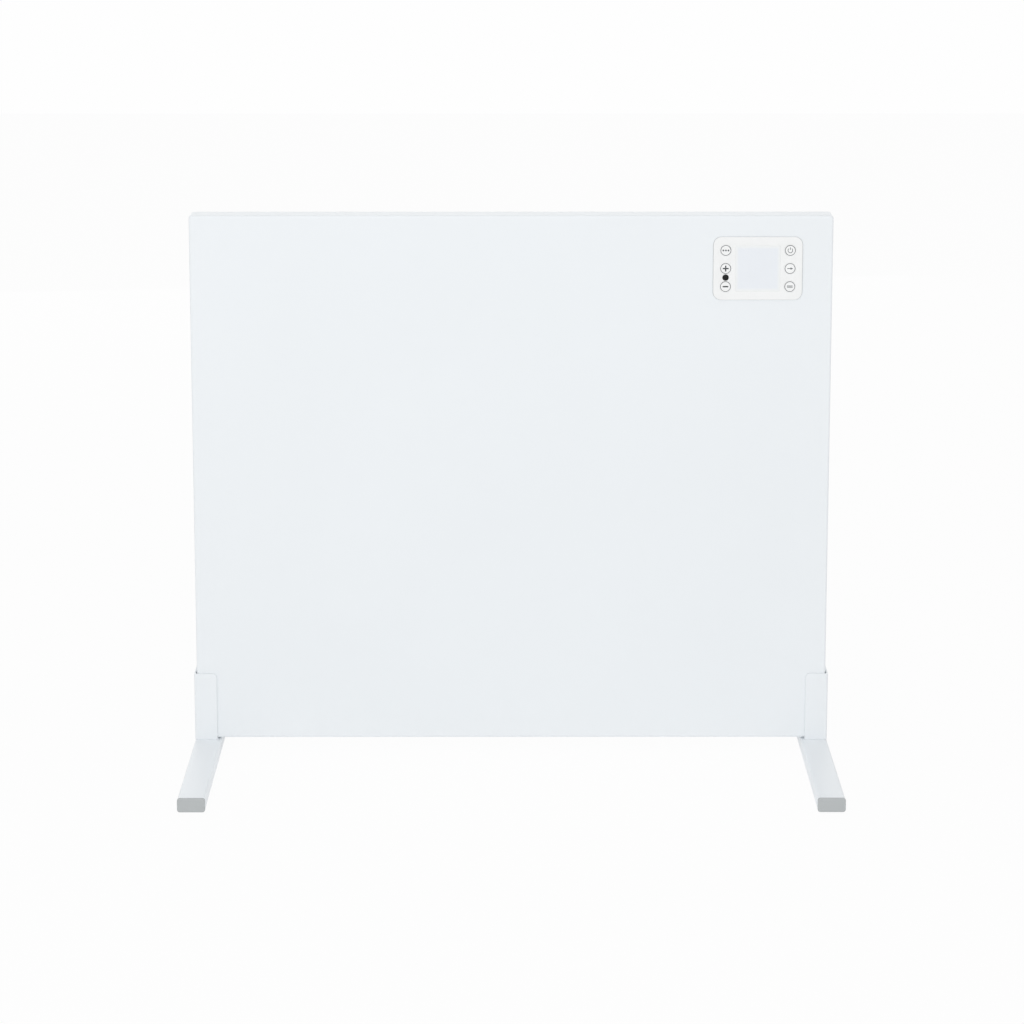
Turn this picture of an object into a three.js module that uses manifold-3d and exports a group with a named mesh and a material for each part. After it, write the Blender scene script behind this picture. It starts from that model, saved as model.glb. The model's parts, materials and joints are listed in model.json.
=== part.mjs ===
// Slim radiant panel heater standing on two feet. All sizes are in millimetres.
// X runs to the right as seen from the front, Y runs to the back and Z runs up.
// The origin is on the floor under the middle of the panel.
import * as THREE from 'three';
import { mergeVertices } from 'three/addons/utils/BufferGeometryUtils.js';
import Module from 'manifold-3d';

// Panel casing
const panelWidth = 600;
const panelHeight = 502.5;
const panelDepth = 30;
const steelSheet = 0.8;
const foldRadius = 2;
const cornerRadius = 4;
const rearLip = 14;
const coverInset = 1;
const coverScrewSpread = 400;
const screwFromEdge = 8;

// Clearances
const seat = 0.1; // air between faces that rest on each other
const slack = 0.3; // air round a piece in its hole or pocket
const running = 0.15; // air round a pivot
const overrun = 2; // how far a cut goes past the piece it cuts

// Feet
const footLength = 432;
const tubeWidth = 25;
const tubeHeight = 12.5;
const tubeWall = 1;
const tubeCorner = 2;
const capRim = 0.2; // how far an end cap stands out round its tube
const capHead = 3;
const capEdge = 0.6;
const capPlug = 14;
const capPlugWall = 1.6;
const bracketSheet = 1.5;
const bracketHeight = 65;
const bracketCorner = 4;
const bracketFlange = 21.4;
const bracketFit = 0.2; // air between the panel's faces and the bracket
const sideGap = 1; // air between the panel's side and the bracket
const bracketScrewUp = 40;

// Screws
const screwRadius = 1.5;
const screwHeadRadius = 2.8;
const screwHeadHeight = 1.8;
const screwGrip = 5; // thread past the last sheet it holds
const footScrewRadius = 2;
const footScrewHeadRadius = 3.6;
const footScrewHeadHeight = 2.4;
const footScrewGrip = 4;
const headShoulder = 1 / 3; // upright share of a screw head's height

// Wall rails at the back
const railLength = 300;
const railSheet = 1.2;
const railWeb = 28;
const railFlange = 10;
const railStandoff = 16;
const topRailFromTop = 120;
const bottomRailUp = 120;
const keyholeFromEnd = 25;
const keyholeRadius = 5;
const keyholeSlot = 5;
const keyholeTravel = 9;

// Heating core
const elementBoard = 0.8;
const trackThick = 0.6;
const trackWidth = 16;
const trackRuns = 12;
const insulationDepth = 7.5;
const chassisMargin = 8;
const legSize = 12;
const legGap = 4;
const controlBayHeight = 90; // unheated strip at the top for the electronics
const postWidth = 3;
const postDepth = 1.2;
const postSpread = 12;
const postStandout = 3;
const leadWindowWidth = 26;
const leadWindowHeight = 12;

// Control unit
const bezelWidth = 83;
const bezelHeight = 59;
const bezelCorner = 7.5;
const bezelEdge = 0.5;
const bezelProud = 1.5;
const bezelPlate = 2.5;
const bezelOverlap = 4; // how far the bezel covers the sheet round its opening
const bezelFromSide = 28.5;
const bezelFromTop = 20;
const collarWall = 1.5;
const collarCorner = 3;
const windowWidth = 42;
const windowHeight = 43;
const windowCorner = 1.5;
const lensFlange = 1;
const lensOverlap = 2;
const lensSunk = 0.2;
const displayFrame = 1; // how far the display module reaches past the window
const keyRadius = 4.8;
const keyGap = 0.35;
const keyFlangeOverlap = 0.35;
const keyFlange = 1;
const keyStem = 0.8;
const keyStemRadius = 1.6;
const keyColumnSpacing = 60;
const keyRowSpacing = 17;
const keyProud = 0.2;
const keyTravel = 0.6;
const receiverRadius = 2.75;
const receiverNeck = 2;
const receiverDome = 0.4;
const switchSide = 6;
const switchBody = 3.5;
const switchPlunger = 0.8;
const switchPlungerRadius = 1.7;
const boardThick = 1.6;
const housingWall = 1.5;
const housingRoom = 4;

// Power unit
const trayWidth = 124;
const trayHeight = 66;
const trayFloor = 1.5;
const trayRim = 9;
const trayWall = 1.5;
const trayGap = 43.2; // between the control housing and the power tray
const trayPost = 3;
const trayPostRadius = 3;
const boardMargin = 2;
const relaySize = new THREE.Vector3(20, 9.5, 15.5);
const transformerSize = new THREE.Vector3(26, 8, 22);
const transformerCoil = 1.6;
const coilWidth = 17.4;
const relayLeft = 29.25; // left of the tray's middle
const transformerRight = 14.6; // right of the tray's middle
const blockSize = new THREE.Vector3(36, 8.5, 10);
const blockWays = 4;
const blockHoleRadius = 2.2;
const blockHoleDepth = 6;

// Safety parts
const thermostatRadius = 7.5;
const thermostatHeight = 8;
const thermostatRim = 1.2;
const thermostatLeft = 60; // left of the panel's middle
const thermostatRise = 87; // above the element's terminals
const tabWidth = 6.3;
const tabThick = 0.8;
const tabLength = 7;
const fuseRadius = 2;
const fuseLength = 11;
const fuseWire = 0.8;
const tiltFromSide = 75;
const tiltUp = 60;
const tiltWidth = 14;
const tiltHeight = 26;
const tiltDepth = 15.5;
const tiltWall = 1.2;
const tiltPinRadius = 1;
const tiltArm = 10;
const tiltArmWidth = 2.4;
const tiltArmThick = 4;
const tiltWeightRadius = 3;
const tiltEyeWall = 1.2;
const sensorSize = new THREE.Vector3(9, 6, 14);
const sensorCorner = 1.5;
const sensorFromSide = 180;

// Air slots in the rear cover
const slotWidth = 3.2;
const slotHeight = 26;
const slotPitch = 10;
const slotCount = 12;
const slotsFromEdge = 55;

// Mains rocker and cord gland
const rockerToGland = 40;
const rockerUp = 70;
const rockerFlangeWidth = 15;
const rockerFlangeHeight = 21;
const rockerFlange = 1.2;
const rockerFlangeCorner = 1.5;
const rockerRim = 1.4;
const rockerBodyWall = 1.2;
const rockerBodyDepth = 12;
const paddleWidth = 9;
const paddleReach = 7;
const paddleSwing = 20; // degrees between off and on
const paddleTopAngle = 32;
const paddleFootAngle = -20;
const paddleDip = 3;
const paddleProud = 0.3;
const pivotRadius = 1.2;
const pivotStub = 1;
const glandFromSide = 60;
const glandUp = 70;
const glandWidth = 18;
const glandHeight = 20;
const glandDepth = 12;
const glandEdge = 1.5;
const glandSpigotRadius = 5;
const glandSpigot = 5;
const glandBore = 3.3;
const glandCorner = 4;

// Leads inside the casing
const leadRadius = 2;
const thinLeadRadius = 1.3;
const leadBend = 10;
const bendShare = 0.45; // most of a straight that one bend may take
const leadRise = 30; // length over which a lead climbs to the terminal block
const mainsDropHeight = 50; // how far below the terminal block the leads turn
const switchDropHeight = 65;
const elementRiseHeight = 25;
const returnRiseHeight = 20;
const leadInsert = 4;
const ribbonWidth = 14;
const ribbonThick = 1;
const ribbonAside = 19; // where it leaves the control board, left of that board's middle

// Counts of sides and steps
const roundSides = 20;
const smallSides = 10;
const leadSides = 6;
const arcSteps = 2;
const slotSteps = 1;
const edgeSteps = 2;
const weld = 1e-3;

// Planes worked out from the sizes above, Y from front to back
const frontFace = -panelDepth / 2;
const rearFace = panelDepth / 2;
const sheetBack = frontFace + steelSheet;
const coverFront = rearFace - steelSheet;
const lipBack = coverFront - seat;
const lipFront = lipBack - steelSheet;
const elementFront = sheetBack + seat;
const trackFront = elementFront + elementBoard;
const insulationFront = trackFront + trackThick + seat;
const chassisFront = insulationFront + insulationDepth + seat;
const chassisBack = chassisFront + steelSheet;

// Heights worked out from the sizes above
const tubeTop = capRim + tubeHeight;
const panelFoot = tubeTop + seat + bracketSheet + seat;
const tubeCentre = panelWidth / 2 + sideGap + bracketSheet - tubeWidth / 2;

const quarter = Math.PI / 2;
const wasm = await Module();
wasm.setup();

// Finishes
function finish(color, roughness, metalness = 0) {
  return new THREE.MeshStandardMaterial({ color, roughness, metalness, flatShading: true });
}

const whiteSteel = finish(0xeef1f4, 0.45);
const whitePlastic = finish(0xf3f4f4, 0.35);
const lensPlastic = finish(0xe6ebf2, 0.15);
const blackPlastic = finish(0x232624, 0.3);
const greyPlastic = finish(0xb9bebe, 0.55);
const bareSteel = finish(0xb7babd, 0.35, 0.9);
const zincSteel = finish(0xc4c8ca, 0.4, 0.85);
const micaBoard = finish(0xb49b6c, 0.7);
const woolBoard = finish(0xd9d3c2, 0.95);
const circuitGreen = finish(0x2e6b44, 0.5);
const housingGrey = finish(0x6d7275, 0.6);
const copperWinding = finish(0xb5703a, 0.35, 0.8);
const leadSleeve = finish(0xd7d3c8, 0.6);

// Solids from meshes, and meshes from solids
function toSolid(geometry) {
  const bare = geometry.clone();
  bare.deleteAttribute('normal');
  bare.deleteAttribute('uv');
  const welded = mergeVertices(bare, weld);
  return new wasm.Manifold(new wasm.Mesh({
    numProp: 3,
    vertProperties: new Float32Array(welded.attributes.position.array),
    triVerts: new Uint32Array(welded.index.array),
  }));
}

function toGeometry(solid) {
  const mesh = solid.getMesh();
  const geometry = new THREE.BufferGeometry();
  geometry.setAttribute('position', new THREE.BufferAttribute(mesh.vertProperties, 3));
  geometry.setIndex(new THREE.BufferAttribute(mesh.triVerts, 1));
  return geometry;
}

function cut(geometry, ...tools) {
  return toGeometry(tools.reduce((rest, tool) => rest.subtract(toSolid(tool)), toSolid(geometry)));
}

function join(geometry, ...others) {
  return toGeometry(others.reduce((sum, other) => sum.add(toSolid(other)), toSolid(geometry)));
}

// Outlines, drawn round the origin
function roundedOutline(width, height, radius) {
  const right = width / 2 - radius;
  const top = height / 2 - radius;
  const outline = new THREE.Shape();
  outline.absarc(right, top, radius, 0, quarter);
  outline.absarc(-right, top, radius, quarter, 2 * quarter);
  outline.absarc(-right, -top, radius, 2 * quarter, 3 * quarter);
  outline.absarc(right, -top, radius, 3 * quarter, 4 * quarter);
  return outline;
}

function polygon(points) {
  return new THREE.Shape(points.map(([x, y]) => new THREE.Vector2(x, y)));
}

// An outline in X and Z with its front at Y 0 and its back at Y depth; edge rounds both rims
const faceFront = new THREE.Matrix4().makeBasis(
  new THREE.Vector3(1, 0, 0), new THREE.Vector3(0, 0, 1), new THREE.Vector3(0, -1, 0));

function upright(outline, depth, edge = 0, curveSegments = arcSteps) {
  const geometry = new THREE.ExtrudeGeometry(outline, {
    depth: depth - 2 * edge,
    steps: 1,
    curveSegments,
    bevelEnabled: edge > 0,
    bevelThickness: edge,
    bevelSize: edge,
    bevelOffset: -edge,
    bevelSegments: edgeSteps,
  });
  return geometry.applyMatrix4(faceFront).translate(0, depth - edge, 0);
}

// An outline in Y and Z, carried along X from the middle to both sides
const faceSide = new THREE.Matrix4().makeBasis(
  new THREE.Vector3(0, 1, 0), new THREE.Vector3(0, 0, 1), new THREE.Vector3(1, 0, 0));

function profile(outline, length) {
  const geometry = new THREE.ExtrudeGeometry(outline, {
    depth: length, steps: 1, curveSegments: arcSteps, bevelEnabled: false,
  });
  return geometry.applyMatrix4(faceSide).translate(-length / 2, 0, 0);
}

// A plain block given by its low and high corners
function block(x0, x1, y0, y1, z0, z1) {
  const geometry = new THREE.BoxGeometry(x1 - x0, y1 - y0, z1 - z0);
  return geometry.translate((x0 + x1) / 2, (y0 + y1) / 2, (z0 + z1) / 2);
}

// Round rods along Y and Z, from their start to their end
function rodAlongY(x, z, y0, y1, radius, sides = roundSides) {
  const geometry = new THREE.CylinderGeometry(radius, radius, y1 - y0, sides);
  return geometry.translate(x, (y0 + y1) / 2, z);
}

function rodAlongZ(x, y, z0, z1, radius, sides = roundSides) {
  const geometry = new THREE.CylinderGeometry(radius, radius, z1 - z0, sides);
  return geometry.rotateX(quarter).translate(x, y, (z0 + z1) / 2);
}

function rodAlongX(y, z, x0, x1, radius, sides = roundSides) {
  const geometry = new THREE.CylinderGeometry(radius, radius, x1 - x0, sides);
  return geometry.rotateZ(quarter).translate((x0 + x1) / 2, y, z);
}

// A pan: rounded at the front rim, flat and square at the back
function pan(width, height, depth, corner, edge) {
  const body = upright(roundedOutline(width, height, corner), depth + edge, edge);
  const halfWidth = width / 2 + overrun;
  const halfHeight = height / 2 + overrun;
  const trim = block(-halfWidth, halfWidth, depth, depth + edge + overrun, -halfHeight, halfHeight);
  return cut(body, trim);
}

// A pan-head screw along Y with the underside of its head at Y 0 and the head towards +Y
function panScrew(radius, length, headRadius, headHeight) {
  const rise = new THREE.Path();
  rise.moveTo(headRadius, headHeight * headShoulder);
  rise.quadraticCurveTo(headRadius, headHeight, 0, headHeight);
  const points = [
    new THREE.Vector2(0, -length),
    new THREE.Vector2(radius, -length),
    new THREE.Vector2(radius, 0),
    new THREE.Vector2(headRadius, 0),
    ...rise.getPoints(edgeSteps),
  ];
  points[points.length - 1].x = 0;
  return toGeometry(toSolid(new THREE.LatheGeometry(points, smallSides)));
}

function piece(name, geometry, material, x = 0, y = 0, z = 0) {
  const mesh = new THREE.Mesh(geometry, material);
  mesh.name = name;
  mesh.position.set(x, y, z);
  return mesh;
}

function group(x, y, z, ...children) {
  const holder = new THREE.Group();
  holder.position.set(x, y, z);
  holder.add(...children.flat());
  return holder;
}

// Places on the panel, counted from the panel's middle
const halfWidth = panelWidth / 2;
const halfHeight = panelHeight / 2;
const screwAcross = halfWidth - screwFromEdge;
const screwLevel = halfHeight - screwFromEdge;
const bracketScrewLevel = bracketScrewUp - halfHeight;
const topRailLevel = halfHeight - topRailFromTop;
const bottomRailLevel = bottomRailUp - halfHeight;
const rockerLevel = rockerUp - halfHeight;
const glandLevel = glandUp - halfHeight;
const bezelAcross = halfWidth - bezelFromSide - bezelWidth / 2;
const glandAcross = halfWidth - glandFromSide;
const rockerAcross = glandAcross - rockerToGland;
const tiltAcross = tiltFromSide - halfWidth;
const sensorAcross = sensorFromSide - halfWidth;
const bezelLevel = halfHeight - bezelFromTop - bezelHeight / 2;
const openingWidth = bezelWidth - 2 * bezelOverlap + 2 * slack;
const openingHeight = bezelHeight - 2 * bezelOverlap + 2 * slack;

// Control unit planes, Y from front to back
const bezelFront = frontFace - bezelProud;
const plateBack = bezelFront + bezelPlate;
const keyFlangeFront = plateBack + seat;
const keyEnd = keyFlangeFront + keyFlange + keyStem;
const plungerTop = keyEnd + keyTravel + seat;
const boardFront = plungerTop + switchPlunger + switchBody + seat;
const boardBack = boardFront + boardThick;
const housingInside = boardBack + housingRoom;
const housingBack = housingInside + housingWall;
const collarWidth = bezelWidth - 2 * bezelOverlap;
const collarHeight = bezelHeight - 2 * bezelOverlap;
const housingWidth = collarWidth + 2 * (slack + housingWall);
const housingHeight = collarHeight + 2 * (slack + housingWall);
const ribbonPlace = -ribbonAside;

// Power unit planes, Y from front to back
const trayFront = chassisBack + seat;
const postTop = trayFront + trayFloor + trayPost;
const powerFront = postTop + seat;
const powerBack = powerFront + boardThick;
const partFront = powerBack + seat;
const trayCentre = bezelAcross - housingWidth / 2 - trayGap - trayWidth / 2;
const trayLevel = bezelLevel;
const ventLevel = halfHeight - slotsFromEdge;

// Chassis and heating element outlines
const chassisWidth = panelWidth - 2 * (steelSheet + chassisMargin);
const chassisHeight = panelHeight - 2 * (steelSheet + chassisMargin);
const elementWidth = chassisWidth - 2 * (legSize + legGap);
const elementTop = chassisHeight / 2 - controlBayHeight;
const elementFoot = -chassisHeight / 2 + legSize + legGap;
const elementHeight = elementTop - elementFoot;
const elementLevel = (elementTop + elementFoot) / 2;
const thermostatAcross = -thermostatLeft;
const terminalAcross = thermostatAcross;
const terminalLevel = elementLevel;

// Folded front tray with an inward lip at the back
function frontPanel() {
  const wide = panelWidth - 2 * steelSheet;
  const tall = panelHeight - 2 * steelSheet;
  const shell = pan(panelWidth, panelHeight, lipBack - frontFace, cornerRadius, foldRadius)
    .translate(0, frontFace, 0);
  const hollow = pan(wide, tall, lipFront - sheetBack, cornerRadius - steelSheet,
    foldRadius - steelSheet).translate(0, sheetBack, 0);
  const mouth = upright(roundedOutline(panelWidth - 2 * rearLip, panelHeight - 2 * rearLip, cornerRadius),
    steelSheet + 2 * overrun).translate(0, lipFront - overrun, 0);
  const opening = upright(roundedOutline(openingWidth, openingHeight, collarCorner + slack),
    steelSheet + 2 * overrun).translate(bezelAcross, frontFace - overrun, bezelLevel);
  const footHoles = [-1, 1].map((side) => rodAlongZ(side * tubeCentre, 0,
    -halfHeight - overrun, -halfHeight + steelSheet + overrun, footScrewRadius + slack, smallSides));
  return cut(shell, hollow, mouth, opening, ...footHoles, ...coverScrewHoles());
}

// Holes for the screws that hold the rear cover and the brackets
function coverScrewHoles() {
  const places = [];
  for (const side of [-1, 1]) {
    places.push([side * coverScrewSpread / 2, screwLevel]);
    places.push([side * coverScrewSpread / 2, -screwLevel]);
    places.push([side * screwAcross, bracketScrewLevel]);
  }
  return places.map(([x, z]) => rodAlongY(x, z, lipFront - overrun, rearFace + overrun,
    screwRadius + slack, smallSides));
}

// Rows of upright air slots
function airSlots(across, level) {
  const first = across - (slotCount - 1) * slotPitch / 2;
  return Array.from({ length: slotCount }, (_, index) => (
    upright(roundedOutline(slotWidth, slotHeight, slotWidth / 2), steelSheet + 2 * overrun, 0, slotSteps)
      .translate(first + index * slotPitch, coverFront - overrun, level)));
}

function rearCover() {
  const sheet = upright(roundedOutline(panelWidth - 2 * coverInset, panelHeight - 2 * coverInset,
    cornerRadius - coverInset), steelSheet).translate(0, coverFront, 0);
  const rockerHole = upright(roundedOutline(rockerFlangeWidth - 2 * rockerRim + 2 * slack,
    rockerFlangeHeight - 2 * rockerRim + 2 * slack, rockerFlangeCorner), steelSheet + 2 * overrun)
    .translate(rockerAcross, coverFront - overrun, rockerLevel);
  const glandHole = rodAlongY(glandAcross, glandLevel, coverFront - overrun, rearFace + overrun,
    glandSpigotRadius + slack);
  return cut(sheet, rockerHole, glandHole, ...coverScrewHoles(),
    ...airSlots(trayCentre, ventLevel), ...airSlots(sensorAcross, -ventLevel));
}

// Hat-shaped wall rail, its feet towards the cover
function hangingRail() {
  const web = railWeb / 2;
  const foot = web + railFlange;
  const inner = web - railSheet;
  const outer = railStandoff;
  return profile(polygon([
    [0, -foot], [railSheet, -foot], [railSheet, -web], [outer, -web], [outer, web], [railSheet, web],
    [railSheet, foot], [0, foot], [0, inner], [outer - railSheet, inner],
    [outer - railSheet, -inner], [0, -inner],
  ]), railLength);
}

// A keyhole takes a screw head in its round part and slides down over the shank
function keyholes() {
  const near = railStandoff - railSheet - overrun;
  const far = railStandoff + overrun;
  const shank = roundedOutline(keyholeSlot, keyholeTravel + keyholeSlot, keyholeSlot / 2);
  return [-1, 1].map((side) => {
    const across = side * (railLength / 2 - keyholeFromEnd);
    const eye = rodAlongY(across, -keyholeTravel / 2, near, far, keyholeRadius);
    return join(eye, upright(shank, far - near).translate(across, near, 0));
  });
}

function casing() {
  const railBack = rearFace + seat;
  const screw = panScrew(screwRadius, steelSheet * 2 + seat + screwGrip, screwHeadRadius, screwHeadHeight);
  const corners = [[-1, 1], [1, 1], [-1, -1], [1, -1]];
  return [
    piece('front_panel', frontPanel(), whiteSteel),
    piece('rear_cover', rearCover(), whiteSteel),
    piece('hanging_rail_top', cut(hangingRail(), ...keyholes()), zincSteel, 0, railBack, topRailLevel),
    piece('hanging_rail_bottom', hangingRail(), zincSteel, 0, railBack, bottomRailLevel),
    ...corners.map(([across, up], index) => piece(`cover_screw_${index + 1}`, screw, zincSteel,
      across * coverScrewSpread / 2, rearFace + seat, up * screwLevel)),
  ];
}

// Resistance track that runs to and fro over the board
function track() {
  const length = elementWidth - 2 * trackWidth;
  const pitch = (elementHeight - 2 * trackWidth) / (trackRuns - 1);
  const foot = elementFoot + trackWidth;
  const bars = [];
  for (let run = 0; run < trackRuns; run += 1) {
    const level = foot + run * pitch;
    bars.push(block(-length / 2, length / 2, trackFront - elementBoard / 2, trackFront + trackThick,
      level - trackWidth / 2, level + trackWidth / 2));
    if (run > 0) {
      const end = (run % 2 === 0 ? -1 : 1) * (length - trackWidth) / 2;
      bars.push(block(end - trackWidth / 2, end + trackWidth / 2, trackFront - elementBoard / 2,
        trackFront + trackThick, level - pitch, level));
    }
  }
  return bars;
}

function leadWindow(front, back) {
  return block(terminalAcross - leadWindowWidth / 2, terminalAcross + leadWindowWidth / 2,
    front - overrun, back + overrun,
    terminalLevel - leadWindowHeight / 2, terminalLevel + leadWindowHeight / 2);
}

function heatingCore() {
  const board = block(-elementWidth / 2, elementWidth / 2, elementFront, trackFront,
    elementFoot, elementTop);
  const posts = [-1, 1].map((side) => {
    const across = terminalAcross + side * postSpread / 2;
    return block(across - postWidth / 2, across + postWidth / 2, elementFront + elementBoard / 2,
      chassisBack + postStandout, terminalLevel - postDepth / 2, terminalLevel + postDepth / 2);
  });
  const wool = block(-elementWidth / 2, elementWidth / 2, insulationFront,
    insulationFront + insulationDepth, elementFoot, elementTop);
  const plate = upright(roundedOutline(chassisWidth, chassisHeight, cornerRadius), steelSheet)
    .translate(0, chassisFront, 0);
  const legs = [[-1, 1], [1, 1], [-1, -1], [1, -1]].map(([across, up]) => {
    const x = across * (chassisWidth - legSize) / 2;
    const z = up * (chassisHeight - legSize) / 2;
    return block(x - legSize / 2, x + legSize / 2, sheetBack + seat, chassisFront + steelSheet / 2,
      z - legSize / 2, z + legSize / 2);
  });
  const shaft = upright(roundedOutline(housingWidth + 2 * slack, housingHeight + 2 * slack, collarCorner),
    steelSheet + 2 * overrun).translate(bezelAcross, chassisFront - overrun, bezelLevel);
  const window = leadWindow(chassisFront, chassisBack);
  return [
    piece('heating_element', join(board, ...track(), ...posts), micaBoard),
    piece('insulation_board', cut(wool, leadWindow(insulationFront, chassisFront)), woolBoard),
    piece('chassis_plate', cut(join(plate, ...legs), shaft, window), bareSteel),
  ];
}

// The six keys: column -1 is left of the window, row 1 is the top row
const keys = [
  ['key_mode', -1, 1],
  ['key_plus', -1, 0],
  ['key_minus', -1, -1],
  ['key_power', 1, 1],
  ['key_set', 1, 0],
  ['key_menu', 1, -1],
];

function keyPlace(column, row) {
  return [column * keyColumnSpacing / 2, row * keyRowSpacing];
}

function bezel() {
  const rim = upright(roundedOutline(bezelWidth, bezelHeight, bezelCorner), bezelProud - seat, bezelEdge)
    .translate(0, bezelFront, 0);
  const collar = upright(roundedOutline(collarWidth, collarHeight, collarCorner),
    boardFront - seat - bezelFront - bezelEdge).translate(0, bezelFront + bezelEdge, 0);
  const room = upright(roundedOutline(collarWidth - 2 * collarWall, collarHeight - 2 * collarWall,
    collarCorner - collarWall), boardFront + overrun - plateBack).translate(0, plateBack, 0);
  const through = bezelPlate + 2 * overrun;
  const pane = upright(roundedOutline(windowWidth, windowHeight, windowCorner), through)
    .translate(0, bezelFront - overrun, 0);
  const rebate = upright(roundedOutline(windowWidth + 2 * (lensOverlap + slack),
    windowHeight + 2 * (lensOverlap + slack), windowCorner), lensFlange + overrun)
    .translate(0, plateBack - lensFlange, 0);
  const bores = keys.map(([, column, row]) => {
    const [x, z] = keyPlace(column, row);
    return rodAlongY(x, z, bezelFront - overrun, plateBack + overrun, keyRadius + keyGap);
  });
  const eye = rodAlongY(-keyColumnSpacing / 2, -keyRowSpacing / 2,
    bezelFront - overrun, plateBack + overrun, receiverRadius + slack);
  return cut(join(rim, collar), room, pane, rebate, ...bores, eye);
}

function lens() {
  const pane = roundedOutline(windowWidth - 2 * seat, windowHeight - 2 * seat, windowCorner - seat);
  const front = upright(pane, bezelPlate - lensSunk - lensFlange / 2)
    .translate(0, bezelFront + lensSunk, 0);
  const flange = upright(roundedOutline(windowWidth + 2 * lensOverlap, windowHeight + 2 * lensOverlap,
    windowCorner), lensFlange - seat).translate(0, plateBack - lensFlange + seat, 0);
  return join(front, flange);
}

function key() {
  const front = bezelFront - keyProud;
  const cap = rodAlongY(0, 0, front, keyFlangeFront + keyFlange / 2, keyRadius);
  const flange = rodAlongY(0, 0, keyFlangeFront, keyFlangeFront + keyFlange,
    keyRadius + keyGap + keyFlangeOverlap);
  const stem = rodAlongY(0, 0, keyFlangeFront, keyEnd, keyStemRadius, smallSides);
  return join(cap, flange, stem);
}

function keySwitch() {
  const body = block(-switchSide / 2, switchSide / 2, boardFront - seat - switchBody, boardFront - seat,
    -switchSide / 2, switchSide / 2);
  const plunger = rodAlongY(0, 0, plungerTop, boardFront - seat - switchBody / 2,
    switchPlungerRadius, smallSides);
  return join(body, plunger);
}

function receiver() {
  const window = rodAlongY(0, 0, bezelFront, plateBack, receiverRadius);
  const dome = new THREE.SphereGeometry(receiverRadius, roundSides, smallSides - arcSteps)
    .scale(1, receiverDome / receiverRadius, 1).translate(0, bezelFront, 0);
  const neck = rodAlongY(0, 0, plateBack - lensFlange, boardFront - seat, receiverNeck, smallSides);
  return join(window, dome, neck);
}

function controlHousing() {
  const front = sheetBack + seat;
  const outer = upright(roundedOutline(housingWidth, housingHeight, collarCorner), housingBack - front)
    .translate(0, front, 0);
  const inner = upright(roundedOutline(collarWidth + 2 * slack, collarHeight + 2 * slack, collarCorner),
    housingInside - front + overrun).translate(0, front - overrun, 0);
  const exit = block(ribbonPlace - ribbonThick / 2 - slack, ribbonPlace + ribbonThick / 2 + slack,
    housingInside - overrun, housingBack + overrun, -ribbonWidth / 2 - slack, ribbonWidth / 2 + slack);
  return cut(outer, inner, exit);
}

function controlUnit() {
  const module = block(-windowWidth / 2 - displayFrame, windowWidth / 2 + displayFrame, plateBack + seat,
    boardFront - seat, -windowHeight / 2 - displayFrame, windowHeight / 2 + displayFrame);
  const board = upright(roundedOutline(collarWidth, collarHeight, collarCorner), boardThick)
    .translate(0, boardFront, 0);
  return group(bezelAcross, 0, bezelLevel,
    piece('control_bezel', bezel(), whitePlastic),
    piece('display_lens', lens(), lensPlastic),
    piece('lcd_module', module, housingGrey),
    piece('ir_receiver', receiver(), blackPlastic, -keyColumnSpacing / 2, 0, -keyRowSpacing / 2),
    keys.flatMap(([name, column, row]) => {
      const [x, z] = keyPlace(column, row);
      return [
        piece(name, key(), whitePlastic, x, 0, z),
        piece(name.replace('key_', 'switch_'), keySwitch(), blackPlastic, x, 0, z),
      ];
    }),
    piece('control_board', board, circuitGreen),
    piece('control_housing', controlHousing(), housingGrey),
  );
}

// Tray, board and the parts on the board, from the tray's middle
function powerTray() {
  const base = block(-trayWidth / 2, trayWidth / 2, trayFront, trayFront + trayRim,
    -trayHeight / 2, trayHeight / 2);
  const room = block(-trayWidth / 2 + trayWall, trayWidth / 2 - trayWall, trayFront + trayFloor,
    trayFront + trayRim + overrun, -trayHeight / 2 + trayWall, trayHeight / 2 - trayWall);
  const inset = boardMargin + trayPostRadius;
  const posts = [[-1, 1], [1, 1], [-1, -1], [1, -1]].map(([across, up]) => rodAlongY(
    across * (trayWidth / 2 - trayWall - inset), up * (trayHeight / 2 - trayWall - inset),
    trayFront + trayFloor / 2, postTop, trayPostRadius, smallSides));
  const leadDoor = block(-blockSize.x / 2, blockSize.x / 2, powerBack, trayFront + trayRim + overrun,
    -trayHeight / 2 - overrun, -trayHeight / 2 + trayWall + overrun);
  const ribbonDoor = block(trayWidth / 2 - trayWall - overrun, trayWidth / 2 + overrun, partFront - seat,
    trayFront + trayRim + overrun, -ribbonWidth / 2 - slack, ribbonWidth / 2 + slack);
  return cut(join(cut(base, room), ...posts), leadDoor, ribbonDoor);
}

function onBoard(size, across, level) {
  return block(across - size.x / 2, across + size.x / 2, partFront, partFront + size.y,
    level - size.z / 2, level + size.z / 2);
}

const boardWidth = trayWidth - 2 * (trayWall + boardMargin);
const boardHeight = trayHeight - 2 * (trayWall + boardMargin);
const blockLevel = -boardHeight / 2 + blockSize.z / 2;
const wayPitch = blockSize.x / blockWays;

function wayAcross(way) {
  return (way - (blockWays - 1) / 2) * wayPitch;
}

function terminalBlock() {
  const level = partFront + blockSize.y / 2;
  const holes = Array.from({ length: blockWays }, (_, way) => rodAlongZ(wayAcross(way), level,
    blockLevel - blockSize.z / 2 - overrun, blockLevel - blockSize.z / 2 + blockHoleDepth,
    blockHoleRadius, smallSides));
  return cut(onBoard(blockSize, 0, blockLevel), ...holes);
}

function transformer(across, level) {
  const core = onBoard(transformerSize, across, level);
  const coil = block(across - coilWidth / 2, across + coilWidth / 2, partFront,
    partFront + transformerSize.y + transformerCoil,
    level - transformerSize.z / 2 - transformerCoil, level + transformerSize.z / 2 + transformerCoil);
  return join(core, coil);
}

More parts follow.
